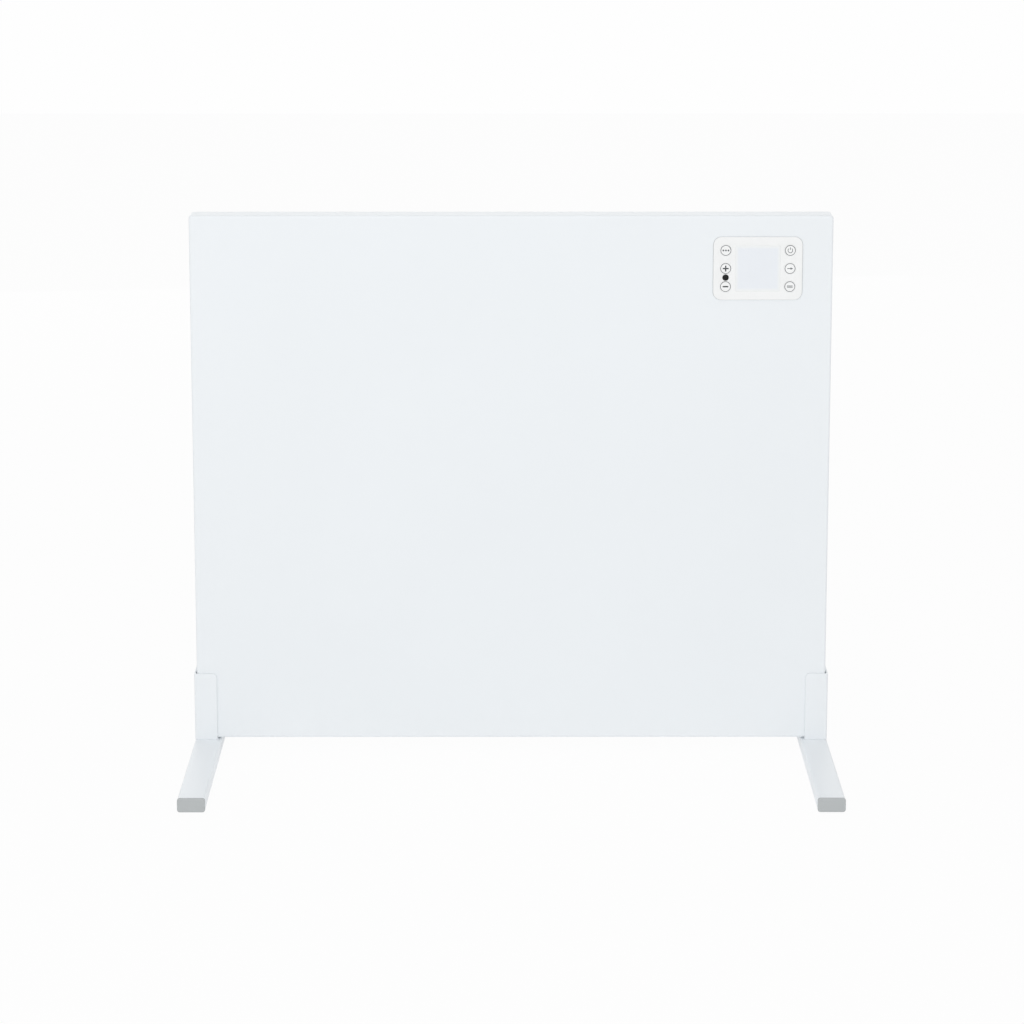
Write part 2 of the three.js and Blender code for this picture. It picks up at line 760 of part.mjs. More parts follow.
function powerUnit() {
  const board = block(-boardWidth / 2, boardWidth / 2, powerFront, powerBack,
    -boardHeight / 2, boardHeight / 2);
  const upper = boardHeight / 2 - transformerCoil - boardMargin - transformerSize.z / 2;
  return group(trayCentre, 0, trayLevel,
    piece('power_tray', powerTray(), blackPlastic),
    piece('power_board', board, circuitGreen),
    piece('relay', onBoard(relaySize, -relayLeft, upper), whitePlastic),
    piece('transformer', transformer(transformerRight, upper), copperWinding),
    piece('terminal_block', terminalBlock(), greyPlastic),
  );
}

// Levels of the parts on the chassis, from the panel's middle
const thermostatLevel = terminalLevel + thermostatRise;
const tiltLevel = tiltUp - halfHeight;
const onChassis = chassisBack + seat;
const wireLevel = chassisBack + slack + fuseRadius;
const tiltBack = onChassis + tiltDepth;
const tiltPivotY = (onChassis + tiltBack - tiltWall) / 2;
const tiltPivotZ = tiltHeight / 2 - tiltWall - tiltWeightRadius;
const tabAcross = postSpread / 2;

function thermostat() {
  const can = rodAlongY(0, 0, onChassis, onChassis + thermostatHeight, thermostatRadius);
  const rim = rodAlongY(0, 0, onChassis, onChassis + thermostatRim, thermostatRadius + thermostatRim);
  const tabs = [-1, 1].map((side) => {
    const far = side * (thermostatRadius + thermostatRim + tabLength);
    return block(side * tabAcross - tabWidth / 2, side * tabAcross + tabWidth / 2,
      wireLevel - tabThick / 2, wireLevel + tabThick / 2, Math.min(0, far), Math.max(0, far));
  });
  return join(can, rim, ...tabs);
}

function thermalFuse() {
  const top = thermostatLevel - thermostatRadius - thermostatRim - tabLength - slack;
  const foot = terminalLevel + postDepth / 2 + slack;
  const middle = (top + foot) / 2;
  const wire = rodAlongZ(0, wireLevel, foot, top, fuseWire, smallSides);
  const sleeve = rodAlongZ(0, wireLevel, middle - fuseLength / 2, middle + fuseLength / 2,
    fuseRadius, smallSides);
  return join(wire, sleeve);
}

function tiltCase() {
  const shell = block(-tiltWidth / 2, tiltWidth / 2, onChassis, tiltBack, -tiltHeight / 2, tiltHeight / 2);
  const room = block(-tiltWidth / 2 + tiltWall, tiltWidth / 2 - tiltWall, onChassis - overrun,
    tiltBack - tiltWall, -tiltHeight / 2 + tiltWall, tiltHeight / 2 - tiltWall);
  const pinHole = rodAlongX(tiltPivotY, tiltPivotZ, -tiltWidth / 2 - overrun, tiltWidth / 2 + overrun,
    tiltPinRadius + seat, smallSides);
  return cut(shell, room, pinHole);
}

function tiltPendulum() {
  const half = tiltArmThick / 2;
  const eye = rodAlongX(0, 0, -half, half, tiltPinRadius + running + tiltEyeWall, smallSides);
  const arm = block(-half, half, -tiltArmWidth / 2, tiltArmWidth / 2, -tiltArm, 0);
  const weight = rodAlongX(0, -tiltArm, -half, half, tiltWeightRadius);
  const bore = rodAlongX(0, 0, -half - overrun, half + overrun, tiltPinRadius + running, smallSides);
  return cut(join(eye, arm, weight), bore);
}

function safetyParts() {
  const sensorFront = coverFront - seat - sensorSize.y;
  const sensor = upright(roundedOutline(sensorSize.x, sensorSize.z, sensorCorner), sensorSize.y);
  const pin = rodAlongX(tiltPivotY, tiltPivotZ, -tiltWidth / 2, tiltWidth / 2, tiltPinRadius, smallSides);
  return [
    piece('overheat_thermostat', thermostat(), zincSteel, thermostatAcross, 0, thermostatLevel),
    piece('thermal_fuse', thermalFuse(), greyPlastic, terminalAcross - tabAcross, 0, 0),
    piece('room_sensor', sensor, blackPlastic, sensorAcross, sensorFront, -ventLevel),
    group(tiltAcross, 0, tiltLevel,
      piece('tilt_switch_case', tiltCase(), blackPlastic),
      piece('tilt_pin', pin, zincSteel),
      piece('tilt_pendulum', tiltPendulum(), zincSteel, 0, tiltPivotY, tiltPivotZ)),
  ];
}

// Mains rocker: body with a pocket, and the paddle that turns on two stubs in it
const rockerBack = rearFace + seat + rockerFlange;
const halfSwing = paddleSwing / 2;

function reach(angle) {
  const turn = THREE.MathUtils.degToRad(angle);
  return [paddleReach * Math.sin(turn), paddleReach * Math.cos(turn)];
}

const paddlePivot = rockerBack + paddleProud - reach(paddleTopAngle - halfSwing)[0];

function rockerBody() {
  const bodyFront = rearFace + seat - rockerBodyDepth;
  const flange = upright(roundedOutline(rockerFlangeWidth, rockerFlangeHeight, rockerFlangeCorner),
    rockerFlange).translate(0, rearFace + seat, 0);
  const body = upright(roundedOutline(rockerFlangeWidth - 2 * rockerRim, rockerFlangeHeight - 2 * rockerRim,
    rockerFlangeCorner), rockerBodyDepth + rockerFlange / 2).translate(0, bodyFront, 0);
  const floor = paddlePivot + reach(paddleFootAngle - halfSwing)[0] - slack;
  const pocket = block(-paddleWidth / 2 - slack, paddleWidth / 2 + slack, floor, rockerBack + overrun,
    -paddleReach - slack, paddleReach + slack);
  const stubReach = paddleWidth / 2 + pivotStub + running;
  const stubs = rodAlongX(paddlePivot, 0, -stubReach, stubReach, pivotRadius + running, smallSides);
  return cut(join(flange, body), pocket, stubs);
}

function rockerPaddle() {
  const rim = [];
  for (let step = 0; step <= arcSteps; step += 1) {
    rim.push(reach(THREE.MathUtils.lerp(paddleTopAngle, paddleFootAngle, step / arcSteps)));
  }
  const mirrored = rim.map(([y, z]) => [y, -z]).reverse();
  const rocker = profile(polygon([[paddleDip, 0], ...rim, ...mirrored]), paddleWidth);
  const stubReach = paddleWidth / 2 + pivotStub;
  return join(rocker, rodAlongX(0, 0, -stubReach, stubReach, pivotRadius, smallSides));
}

// Elbow gland: the mains cord comes up into it and turns in through the cover
function cordGland() {
  const base = rearFace + seat;
  const hood = upright(roundedOutline(glandWidth, glandHeight, glandCorner), glandDepth, glandEdge)
    .translate(0, base, 0);
  const spigot = rodAlongY(0, 0, base - glandSpigot, base + glandDepth / 2, glandSpigotRadius);
  const rise = rodAlongZ(0, base + glandDepth / 2, -glandHeight / 2 - overrun, 0, glandBore, smallSides);
  const turn = rodAlongY(0, 0, base - glandSpigot - overrun, base + glandDepth / 2 + glandBore, glandBore,
    smallSides);
  return cut(join(hood, spigot), rise, turn);
}

function mainsInlet() {
  const paddle = piece('rocker_paddle', rockerPaddle(), blackPlastic, 0, paddlePivot, 0);
  paddle.rotation.x = THREE.MathUtils.degToRad(halfSwing);
  return [
    group(rockerAcross, 0, rockerLevel, piece('rocker_body', rockerBody(), blackPlastic), paddle),
    piece('cord_gland', cordGland(), blackPlastic, glandAcross, 0, glandLevel),
  ];
}

// The stations of a lead: its ends, and a few points round each bend
class LeadRoute extends THREE.Curve {
  constructor(stations) {
    super();
    this.stations = stations;
  }

  getSpacedPoints() {
    return this.stations;
  }

  getTangentAt(share, target = new THREE.Vector3()) {
    const last = this.stations.length - 1;
    const at = Math.round(share * last);
    const before = this.stations[Math.max(at - 1, 0)];
    const after = this.stations[Math.min(at + 1, last)];
    return target.copy(after).sub(before).normalize();
  }
}

// A lead through its corners, each corner rounded off by leadBend
function lead(radius, corners) {
  const points = corners.map(([x, y, z]) => new THREE.Vector3(x, y, z));
  const stations = [points[0]];
  for (let at = 1; at < points.length - 1; at += 1) {
    const [start, end] = [points[at - 1], points[at + 1]].map((next) => {
      const away = next.clone().sub(points[at]);
      return points[at].clone().add(away.clone().setLength(Math.min(leadBend, away.length() * bendShare)));
    });
    stations.push(...new THREE.QuadraticBezierCurve3(start, points[at], end).getPoints(arcSteps));
  }
  stations.push(points[points.length - 1]);
  const ring = Array.from({ length: leadSides }, (_, side) => {
    const turn = 4 * quarter * side / leadSides;
    return [radius * Math.cos(turn), radius * Math.sin(turn)];
  });
  return new THREE.ExtrudeGeometry(polygon(ring), {
    steps: stations.length - 1, bevelEnabled: false, extrudePath: new LeadRoute(stations),
  });
}

// The last stretch of each lead: over the chassis, up to the block and into its way
function toBlock(way, turn, floor) {
  const across = trayCentre + wayAcross(way);
  const mouth = trayLevel + blockLevel - blockSize.z / 2;
  const level = partFront + blockSize.y / 2;
  return [
    [across, floor, mouth - turn],
    [across, floor, mouth - leadRise - leadBend],
    [across, level, mouth - leadBend],
    [across, level, mouth + leadInsert],
  ];
}

function leads() {
  const mouth = trayLevel + blockLevel - blockSize.z / 2;
  const thick = chassisBack + slack + leadRadius;
  const thin = wireLevel;
  const bodyTop = rockerLevel + rockerFlangeHeight / 2 - rockerRim;
  const bodyMiddle = rearFace - rockerBodyDepth / 2;
  const tabTop = thermostatLevel + thermostatRadius + thermostatRim + tabLength;
  const rightPost = terminalAcross + tabAcross;
  const mains = lead(leadRadius, [
    [glandAcross, rearFace + seat - glandSpigot - slack, glandLevel],
    [glandAcross, thick, glandLevel],
    [glandAcross, thick, mouth - mainsDropHeight],
    ...toBlock(3, mainsDropHeight, thick),
  ]);
  const live = lead(leadRadius, [
    [rockerAcross, bodyMiddle, bodyTop + slack],
    [rockerAcross, bodyMiddle, bodyTop + leadBend],
    [rockerAcross, thick, bodyTop + leadRise],
    [rockerAcross, thick, mouth - switchDropHeight],
    ...toBlock(2, switchDropHeight, thick),
  ]);
  const back = lead(thinLeadRadius, [
    [rightPost, thin, terminalLevel + postDepth / 2 + slack],
    [rightPost, thin, terminalLevel + returnRiseHeight],
    ...toBlock(1, mouth - terminalLevel - returnRiseHeight, thin),
  ]);
  const feed = lead(thinLeadRadius, [
    [rightPost, thin, tabTop + slack],
    [rightPost, thin, tabTop + elementRiseHeight],
    ...toBlock(0, mouth - tabTop - elementRiseHeight, thin),
  ]);
  return [
    piece('mains_lead', mains, leadSleeve),
    piece('switch_lead', live, leadSleeve),
    piece('return_lead', back, leadSleeve),
    piece('element_lead', feed, leadSleeve),
  ];
}

// Flat ribbon from the control board, out of its housing and over to the power board
function ribbonCable() {
  const exit = bezelAcross + ribbonPlace;
  const near = exit - ribbonThick / 2;
  const far = exit + ribbonThick / 2;
  const landing = trayCentre + boardWidth / 2 - ribbonWidth / 2;
  const top = partFront + ribbonThick;
  const outline = polygon([
    [near, boardBack + seat], [far, boardBack + seat], [far, top], [landing, top],
    [landing, partFront], [near, partFront],
  ]);
  const strip = new THREE.ExtrudeGeometry(outline, { depth: ribbonWidth, steps: 1, bevelEnabled: false });
  return piece('ribbon_cable', strip.translate(0, 0, -ribbonWidth / 2), greyPlastic, 0, 0, bezelLevel);
}

// Feet, each drawn round the middle of its tube; side is -1 on the left and 1 on the right
const capCentre = capRim + tubeHeight / 2;

function footTube() {
  const length = footLength - 2 * (capHead + seat);
  const outline = roundedOutline(tubeWidth, tubeHeight, tubeCorner);
  outline.holes.push(roundedOutline(tubeWidth - 2 * tubeWall, tubeHeight - 2 * tubeWall,
    tubeCorner - tubeWall));
  const tube = upright(outline, length).translate(0, -length / 2, capCentre);
  const door = rodAlongZ(0, 0, capRim - overrun, capRim + tubeWall + overrun,
    footScrewHeadRadius + slack);
  const hole = rodAlongZ(0, 0, tubeTop - tubeWall - overrun, tubeTop + overrun,
    footScrewRadius + slack, smallSides);
  return cut(tube, door, hole);
}

function endCap() {
  const head = pan(tubeWidth + 2 * capRim, tubeHeight + 2 * capRim, capHead, tubeCorner + capRim, capEdge);
  const plugWidth = tubeWidth - 2 * (tubeWall + slack);
  const plugHeight = tubeHeight - 2 * (tubeWall + slack);
  const plug = upright(roundedOutline(plugWidth, plugHeight, tubeCorner - tubeWall), capHead / 2 + capPlug)
    .translate(0, capHead / 2, 0);
  const core = upright(roundedOutline(plugWidth - 2 * capPlugWall, plugHeight - 2 * capPlugWall,
    tubeCorner - tubeWall), capPlug + overrun).translate(0, capHead, 0);
  return cut(join(head, plug), core);
}

function footBracket(side) {
  const base = tubeTop + seat;
  const top = tubeTop + bracketHeight;
  const outer = tubeWidth / 2;
  const inner = outer - bracketFlange;
  const depth = panelDepth / 2 + bracketFit;
  const outline = new THREE.Shape();
  outline.moveTo(side * outer, base);
  outline.lineTo(side * outer, top);
  outline.lineTo(side * (inner + bracketCorner), top);
  outline.quadraticCurveTo(side * inner, top, side * inner, top - bracketCorner);
  outline.lineTo(side * inner, base);
  const channel = upright(outline, 2 * (depth + bracketSheet)).translate(0, -depth - bracketSheet, 0);
  const wall = side * (outer - bracketSheet);
  const open = side * (inner - overrun);
  const room = block(Math.min(wall, open), Math.max(wall, open), -depth, depth,
    base + bracketSheet, top + overrun);
  const footHole = rodAlongZ(0, 0, base - overrun, base + bracketSheet + overrun,
    footScrewRadius + slack, smallSides);
  const backHole = rodAlongY(side * (screwAcross - tubeCentre), panelFoot + bracketScrewUp,
    depth - overrun, depth + bracketSheet + overrun, screwRadius + slack, smallSides);
  return cut(channel, room, footHole, backHole);
}

function foot(side, label) {
  const cap = endCap();
  const rear = piece(`end_cap_rear_${label}`, cap, greyPlastic, 0, footLength / 2, capCentre);
  rear.rotation.z = 2 * quarter;
  const grip = tubeWall + bracketSheet + steelSheet + 3 * seat + footScrewGrip;
  const footScrew = panScrew(footScrewRadius, grip, footScrewHeadRadius, footScrewHeadHeight)
    .rotateX(-quarter);
  const bracketGrip = bracketSheet + bracketFit + 2 * (steelSheet + seat) + screwGrip;
  const bracketScrew = panScrew(screwRadius, bracketGrip, screwHeadRadius, screwHeadHeight);
  return group(side * tubeCentre, 0, 0,
    piece(`foot_tube_${label}`, footTube(), whiteSteel),
    piece(`foot_bracket_${label}`, footBracket(side), whiteSteel),
    piece(`end_cap_front_${label}`, cap, greyPlastic, 0, -footLength / 2, capCentre),
    rear,
    piece(`foot_screw_${label}`, footScrew, zincSteel, 0, 0, tubeTop - tubeWall - seat),
    piece(`bracket_screw_${label}`, bracketScrew, zincSteel, side * (screwAcross - tubeCentre),
      panelDepth / 2 + bracketFit + bracketSheet + seat, panelFoot + bracketScrewUp),
  );
}

const heater = new THREE.Group();
heater.add(
  group(0, 0, panelFoot + halfHeight,
    casing(), heatingCore(), controlUnit(), powerUnit(), safetyParts(), mainsInlet(), leads(),
    ribbonCable()),
  foot(-1, 'left'),
  foot(1, 'right'),
);

export default heater;
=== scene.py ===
"""Looks of a slim white panel heater that stands on two tube feet.

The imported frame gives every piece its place. Lengths are in metres: X runs to the right as seen
from the front, Y runs to the back and Z runs up from the floor.
"""

import json
import logging
import math
from collections.abc import Callable, Iterable, Sequence
from dataclasses import dataclass
from enum import Enum
from typing import NamedTuple

import bmesh
import bpy
from mathutils import Matrix, Vector
from mathutils.geometry import tessellate_polygon


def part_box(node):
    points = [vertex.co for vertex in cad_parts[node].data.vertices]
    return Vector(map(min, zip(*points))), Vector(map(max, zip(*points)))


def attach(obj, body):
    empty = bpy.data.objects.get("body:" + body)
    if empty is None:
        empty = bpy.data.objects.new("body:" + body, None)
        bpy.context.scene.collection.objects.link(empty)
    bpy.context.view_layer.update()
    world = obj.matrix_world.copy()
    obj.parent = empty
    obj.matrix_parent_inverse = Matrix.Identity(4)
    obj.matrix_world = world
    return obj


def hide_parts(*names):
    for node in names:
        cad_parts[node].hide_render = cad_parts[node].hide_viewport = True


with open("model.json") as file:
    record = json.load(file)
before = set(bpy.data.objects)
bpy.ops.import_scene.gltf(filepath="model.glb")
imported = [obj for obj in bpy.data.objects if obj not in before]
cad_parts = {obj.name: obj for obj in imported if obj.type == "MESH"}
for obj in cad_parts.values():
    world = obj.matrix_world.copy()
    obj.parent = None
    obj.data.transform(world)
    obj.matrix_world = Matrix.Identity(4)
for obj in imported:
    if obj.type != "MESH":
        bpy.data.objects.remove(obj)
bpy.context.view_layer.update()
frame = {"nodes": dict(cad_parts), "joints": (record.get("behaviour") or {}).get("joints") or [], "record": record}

log = logging.getLogger("panel_heater")

MM = 0.001
CASING = "casing"
COVER_SCREWS = tuple(f"cover_screw_{number}" for number in range(1, 5))
CREASE, SCREW_CREASE = 34.0, 40.0
SMALL_SIDES, SCREW_SIDES, ROUND_SIDES = 24, 32, 48
MOUTH_STEPS, EDGE_STEPS, FOLD_STEPS, ROUGH_STEPS, CORNER_STEPS, FINE_STEPS = 3, 4, 5, 6, 8, 10
LEAST_RADIUS = 0.02 * MM
LEAST_BEND = 0.3
BAR_ROUND = 2.01
WINDOW_WIDTH, WINDOW_HEIGHT = 42.0 * MM, 43.0 * MM

Point = tuple[float, float]
Triple = tuple[float, float, float]
Loop = list[bmesh.types.BMVert]
Place = Callable[[float, float, float], Vector]
Outline = Callable[[float], Sequence[Point]]
Socket = bpy.types.NodeSocket
Node = bpy.types.Node


class Slot(Enum):
    """Material slots of the record that the pieces take their finish from."""

    WHITE_STEEL = "white_steel"
    WHITE_PLASTIC = "white_plastic"
    KEY_PLASTIC = "key_plastic"
    DISPLAY_WINDOW = "display_window"
    RECEIVER_BLACK = "receiver_black"
    END_CAP_GREY = "end_cap_grey"
    ZINC_STEEL = "zinc_steel"
    BARE_STEEL = "bare_steel"
    MICA_BOARD = "mica_board"
    WOOL_BOARD = "wool_board"
    CIRCUIT_BOARD = "circuit_board"
    HOUSING_GREY = "housing_grey"
    BLACK_PLASTIC = "black_plastic"
    ROCKER_BLACK = "rocker_black"
    COPPER_WINDING = "copper_winding"
    GREY_PLASTIC = "grey_plastic"
    LEAD_SLEEVE = "lead_sleeve"


# Colours, patterns and node trees


class Colour(NamedTuple):
    """A colour as the eye reads it on a screen, each channel from 0 to 255."""

    red: int
    green: int
    blue: int

    def linear(self) -> tuple[float, ...]:
        """Returns the colour as light, with an alpha of one."""
        shares = [channel / 255 for channel in self]
        return (*(s / 12.92 if s <= 0.04045 else ((s + 0.055) / 1.055) ** 2.4 for s in shares), 1.0)

    def shaded(self, share: float) -> "Colour":
        """Returns this colour made darker where share is below one, or lighter above it."""
        return Colour(*(min(255, round(channel * share)) for channel in self))


class Pattern(Enum):
    """Patterns that a surface can show, each by its node and the output that holds it."""

    CLOUDS = ("ShaderNodeTexNoise", "Fac")
    CELLS = ("ShaderNodeTexVoronoi", "Color")
    CELL_BUMPS = ("ShaderNodeTexVoronoi", "Distance")
    TRACKS = ("ShaderNodeTexBrick", "Fac")
    TURNS = ("ShaderNodeTexWave", "Fac")
    CHECKS = ("ShaderNodeTexChecker", "Fac")


@dataclass(frozen=True)
class Grain:
    """A pattern: the size of one cell, how it is drawn out, and its node's other inputs."""

    pattern: Pattern
    size: float
    stretch: Triple = (1.0, 1.0, 1.0)
    inputs: tuple[tuple[str, float], ...] = ()


def clouds(size: float, detail: float = 2.0, stretch: Triple = (1.0, 1.0, 1.0)) -> Grain:
    """Returns cloudy noise with finer layers over it, drawn out where stretch is below one."""
    return Grain(Pattern.CLOUDS, size, stretch, (("Detail", detail),))


@dataclass(frozen=True)
class Spread:
    """A pattern, the values that it runs between, and where it rises if it has an edge."""

    grain: Grain
    low: float
    high: float
    edge: Point | None = None


class Wiring:
    """A node tree under construction."""

    def __init__(self, tree: bpy.types.NodeTree) -> None:
        """Starts on a tree."""
        self.tree = tree

    def link(self, start: Socket, end: Socket) -> None:
        """Links an output to an input."""
        self.tree.links.new(start, end)

    def add(self, kind: str, *values: object, **named: object) -> Node:
        """Adds a node.

        Args:
            kind: the node's type name.
            values: values or output sockets for its first inputs.
            named: the same for inputs by name, with underscores for spaces.

        Returns:
            The new node.
        """
        node = self.tree.nodes.new(kind)
        inputs = [*zip(node.inputs, values)]
        inputs += [(node.inputs[name.replace("_", " ")], value) for name, value in named.items()]
        for socket, value in inputs:
            if isinstance(value, Socket):
                self.link(value, socket)
            else:
                socket.default_value = value
        return node

    def maths(self, operation: str, *values: Socket) -> Socket:
        """Adds a maths node.

        Args:
            operation: what it does.
            values: its inputs.

        Returns:
            Its result.
        """
        node = self.add("ShaderNodeMath", *values)
        node.operation = operation
        return node.outputs[0]

    def seen_by_eye(self) -> Socket:
        """Makes a test of whether a ray comes from the camera, a mirror or a window.

        Returns:
            One where it does, and zero elsewhere.
        """
        rays = self.add("ShaderNodeLightPath").outputs
        mirrored = self.maths("MAXIMUM", rays["Is Camera Ray"], rays["Is Glossy Ray"])
        return self.maths("MAXIMUM", mirrored, rays["Is Transmission Ray"])

    def show(self, share: Socket, first: Node, second: Node, output: Node) -> None:
        """Sends a mix of two shaders to an output.

        Args:
            share: how much of the second shader shows.
            first: one shader.
            second: the other shader.
            output: the output.
        """
        mix = self.add("ShaderNodeMixShader", share, first.outputs[0], second.outputs[0])
        self.link(mix.outputs[0], output.inputs["Surface"])


class Recipe(Wiring):
    """The node tree of one material, built round a principled shader."""

    def __init__(self, name: str, **look: float) -> None:
        """Starts a material.

        Args:
            name: the material's name.
            look: plain values of the shader by name, with underscores for spaces.
        """
        self.material = bpy.data.materials.new(name)
        self.material.use_nodes = True
        super().__init__(self.material.node_tree)
        self.surface = next(n for n in self.tree.nodes if n.type == "BSDF_PRINCIPLED")
        for key, value in look.items():
            self.surface.inputs[key.replace("_", " ")].default_value = value
        self.spot = self.add("ShaderNodeTexCoord").outputs["Object"]
        self.made: dict[Grain, Socket] = {}

    def grain(self, grain: Grain) -> Socket:
        """Adds a pattern, but only once.

        Args:
            grain: the pattern.

        Returns:
            The pattern's output.
        """
        if grain not in self.made:
            kind, output = grain.pattern.value
            where = self.add("ShaderNodeMapping", self.spot, Scale=grain.stretch).outputs[0]
            node = self.add(kind, Vector=where, Scale=1 / grain.size, **dict(grain.inputs))
            self.made[grain] = node.outputs[output]
        return self.made[grain]

    def spread(self, value: Socket, low: float, high: float, edge: Point | None = None) -> Socket:
        """Spreads a value over another range.

        Args:
            value: what to spread.
            low: the result at its low end.
            high: the result at its high end.
            edge: the two ends, for a smooth rise, or None for an even one from zero to one.

        Returns:
            The result.
        """
        node = self.add("ShaderNodeMapRange", value, *(edge or (0.0, 1.0)), low, high)
        if edge:
            node.interpolation_type = "SMOOTHSTEP"
        return node.outputs["Result"]

    def over(self, share: Socket, under: Socket | Colour, top: Colour) -> Socket:
        """Lays a colour over another.

        Args:
            share: where the top colour shows, from zero to one.
            under: the colour below.
            top: the colour above.

        Returns:
            The mixed colour.
        """
        mix = self.add("ShaderNodeMix", share)
        mix.data_type = "RGBA"
        below, above = [socket for socket in mix.inputs if socket.type == "RGBA"]
        if isinstance(under, Colour):
            below.default_value = under.linear()
        else:
            self.link(under, below)
        above.default_value = top.linear()
        return next(socket for socket in mix.outputs if socket.type == "RGBA")

    def raise_up(self, height: Socket, depth: float) -> None:
        """Raises a fine relief on the surface, over the relief that it already has.

        Args:
            height: the relief from zero to one.
            depth: how far one stands out, in metres.
        """
        normal = self.surface.inputs["Normal"]
        below = {"Normal": link.from_socket for link in normal.links}
        bump = self.add("ShaderNodeBump", Height=height, Distance=depth, Strength=1.0, **below)
        self.link(bump.outputs[0], normal)


# Finishes, one class for each kind of surface


@dataclass(frozen=True)
class Finish:
    """What every finish has, and the way to make its material.

    Tones are shares of the colour, patches lie over it in a shade of it or in another colour,
    gloss is added to the roughness, and each relief is a pattern with its depth.
    """

    colour: Colour
    roughness: float
    metallic: float = 0.0
    specular: float = 0.5
    tones: Spread = Spread(clouds(20 * MM), 1.0, 1.0)
    patches: Spread | None = None
    patch: float | Colour = 1.0
    gloss: Spread | None = None
    reliefs: tuple[tuple[Grain, float], ...] = ()

    def coat(self, recipe: Recipe) -> Socket:
        """Lays out the colour over the surface.

        Args:
            recipe: the recipe of the material.

        Returns:
            The colour.
        """
        dark, light = self.colour.shaded(self.tones.low), self.colour.shaded(self.tones.high)
        coat = recipe.over(recipe.grain(self.tones.grain), dark, light)
        if self.patches:
            how = self.patches
            share = recipe.spread(recipe.grain(how.grain), how.low, how.high, how.edge)
            own = isinstance(self.patch, Colour)
            coat = recipe.over(share, coat, self.patch if own else self.colour.shaded(self.patch))
        return coat

    def recipe(self, name: str) -> Recipe:
        """Makes the material.

        Args:
            name: the material's name.

        Returns:
            Its recipe, still open, with the material in it.
        """
        recipe = Recipe(name, Roughness=self.roughness, Metallic=self.metallic,
                        Specular_IOR_Level=self.specular)
        shader = recipe.surface.inputs
        recipe.link(self.coat(recipe), shader["Base Color"])
        if self.gloss:
            low, high = self.roughness + self.gloss.low, self.roughness + self.gloss.high
            gloss = recipe.spread(recipe.grain(self.gloss.grain), low, high)
            recipe.link(gloss, shader["Roughness"])
        for grain, depth in self.reliefs:
            recipe.raise_up(recipe.grain(grain), depth)
        return recipe


@dataclass(frozen=True)
class PowderCoat(Finish):
    """Stoved powder paint on steel, with faint clouds and a fine orange peel."""

    tones: Spread = Spread(clouds(160 * MM, 3.0), 0.992, 1.004)
    gloss: Spread = Spread(clouds(7 * MM), -0.02, 0.02)
    reliefs: tuple[tuple[Grain, float], ...] = ((clouds(1.4 * MM, 3.0), 0.012 * MM),)


SPARKS = clouds(0.35 * MM, 3.0)


@dataclass(frozen=True)
class MouldedPlastic(Finish):
    """Injection-moulded plastic with slow flow clouds and a spark-eroded grain."""

    tones: Spread = Spread(clouds(14 * MM, 1.0), 0.985, 1.01)
    gloss: Spread = Spread(SPARKS, -0.04, 0.06)
    reliefs: tuple[tuple[Grain, float], ...] = ((SPARKS, 0.01 * MM),)


@dataclass(frozen=True, kw_only=True)
class DisplayWindow(Finish):
    """Clear window over the resting display, its colour cooler in the middle than at the rim."""

    rim: Colour
    centre: Vector
    fade: float = 3.8 * MM
    tones: Spread = Spread(clouds(25 * MM), 0.99, 1.01)
    gloss: Spread = Spread(clouds(9 * MM), -0.02, 0.03)
    reliefs: tuple[tuple[Grain, float], ...] = ((clouds(6 * MM), 0.004 * MM),)

    def coat(self, recipe: Recipe) -> Socket:
        """Lays the pale rim over the cool field.

        Args:
            recipe: the recipe of the material.

        Returns:
            The colour.
        """
        away = recipe.add("ShaderNodeMapping", recipe.spot, Location=-self.centre)
        parts = recipe.add("ShaderNodeSeparateXYZ", away.outputs[0]).outputs
        edges = []
        for axis, half in (("X", WINDOW_WIDTH / 2), ("Z", WINDOW_HEIGHT / 2)):
            reach = recipe.maths("ABSOLUTE", parts[axis])
            edges.append(recipe.spread(reach, 0.0, 1.0, (half - self.fade, half)))
        return recipe.over(recipe.maths("MAXIMUM", *edges), super().coat(recipe), self.rim)


@dataclass(frozen=True)
class DarkWindow(Finish):
    """Smoked plastic that lets infrared light through."""

    specular: float = 0.2
    tones: Spread = Spread(clouds(1.6 * MM), 0.9, 1.15)
    gloss: Spread = Spread(clouds(1.6 * MM), -0.03, 0.05)


LINES = clouds(1 * MM, 3.0, (0.05, 1.0, 1.0))


@dataclass(frozen=True)
class ZincPlate(Finish):
    """Zinc-plated steel, with spangles, white dust and faint rolling lines."""

    metallic: float = 0.9
    tones: Spread = Spread(Grain(Pattern.CELLS, 5 * MM), 0.94, 1.03)
    patches: Spread = Spread(clouds(30 * MM, 4.0), 0.0, 0.35, (0.5, 0.8))
    patch: float = 0.82
    gloss: Spread = Spread(LINES, -0.08, 0.12)
    reliefs: tuple[tuple[Grain, float], ...] = ((LINES, 0.004 * MM),)


STREAKS = clouds(0.8 * MM, 4.0, (0.02, 1.0, 1.0))


@dataclass(frozen=True)
class RolledSteel(Finish):
    """Bare cold-rolled sheet, with long streaks along X and faint oil clouds."""

    metallic: float = 0.95
    tones: Spread = Spread(STREAKS, 0.9, 1.05)
    patches: Spread = Spread(clouds(60 * MM, 3.0), 0.0, 0.3, (0.55, 0.75))
    patch: float = 0.75
    gloss: Spread = Spread(STREAKS, -0.1, 0.1)
    reliefs: tuple[tuple[Grain, float], ...] = ((STREAKS, 0.003 * MM),)


FLAKES = Grain(Pattern.CELL_BUMPS, 2.2 * MM)


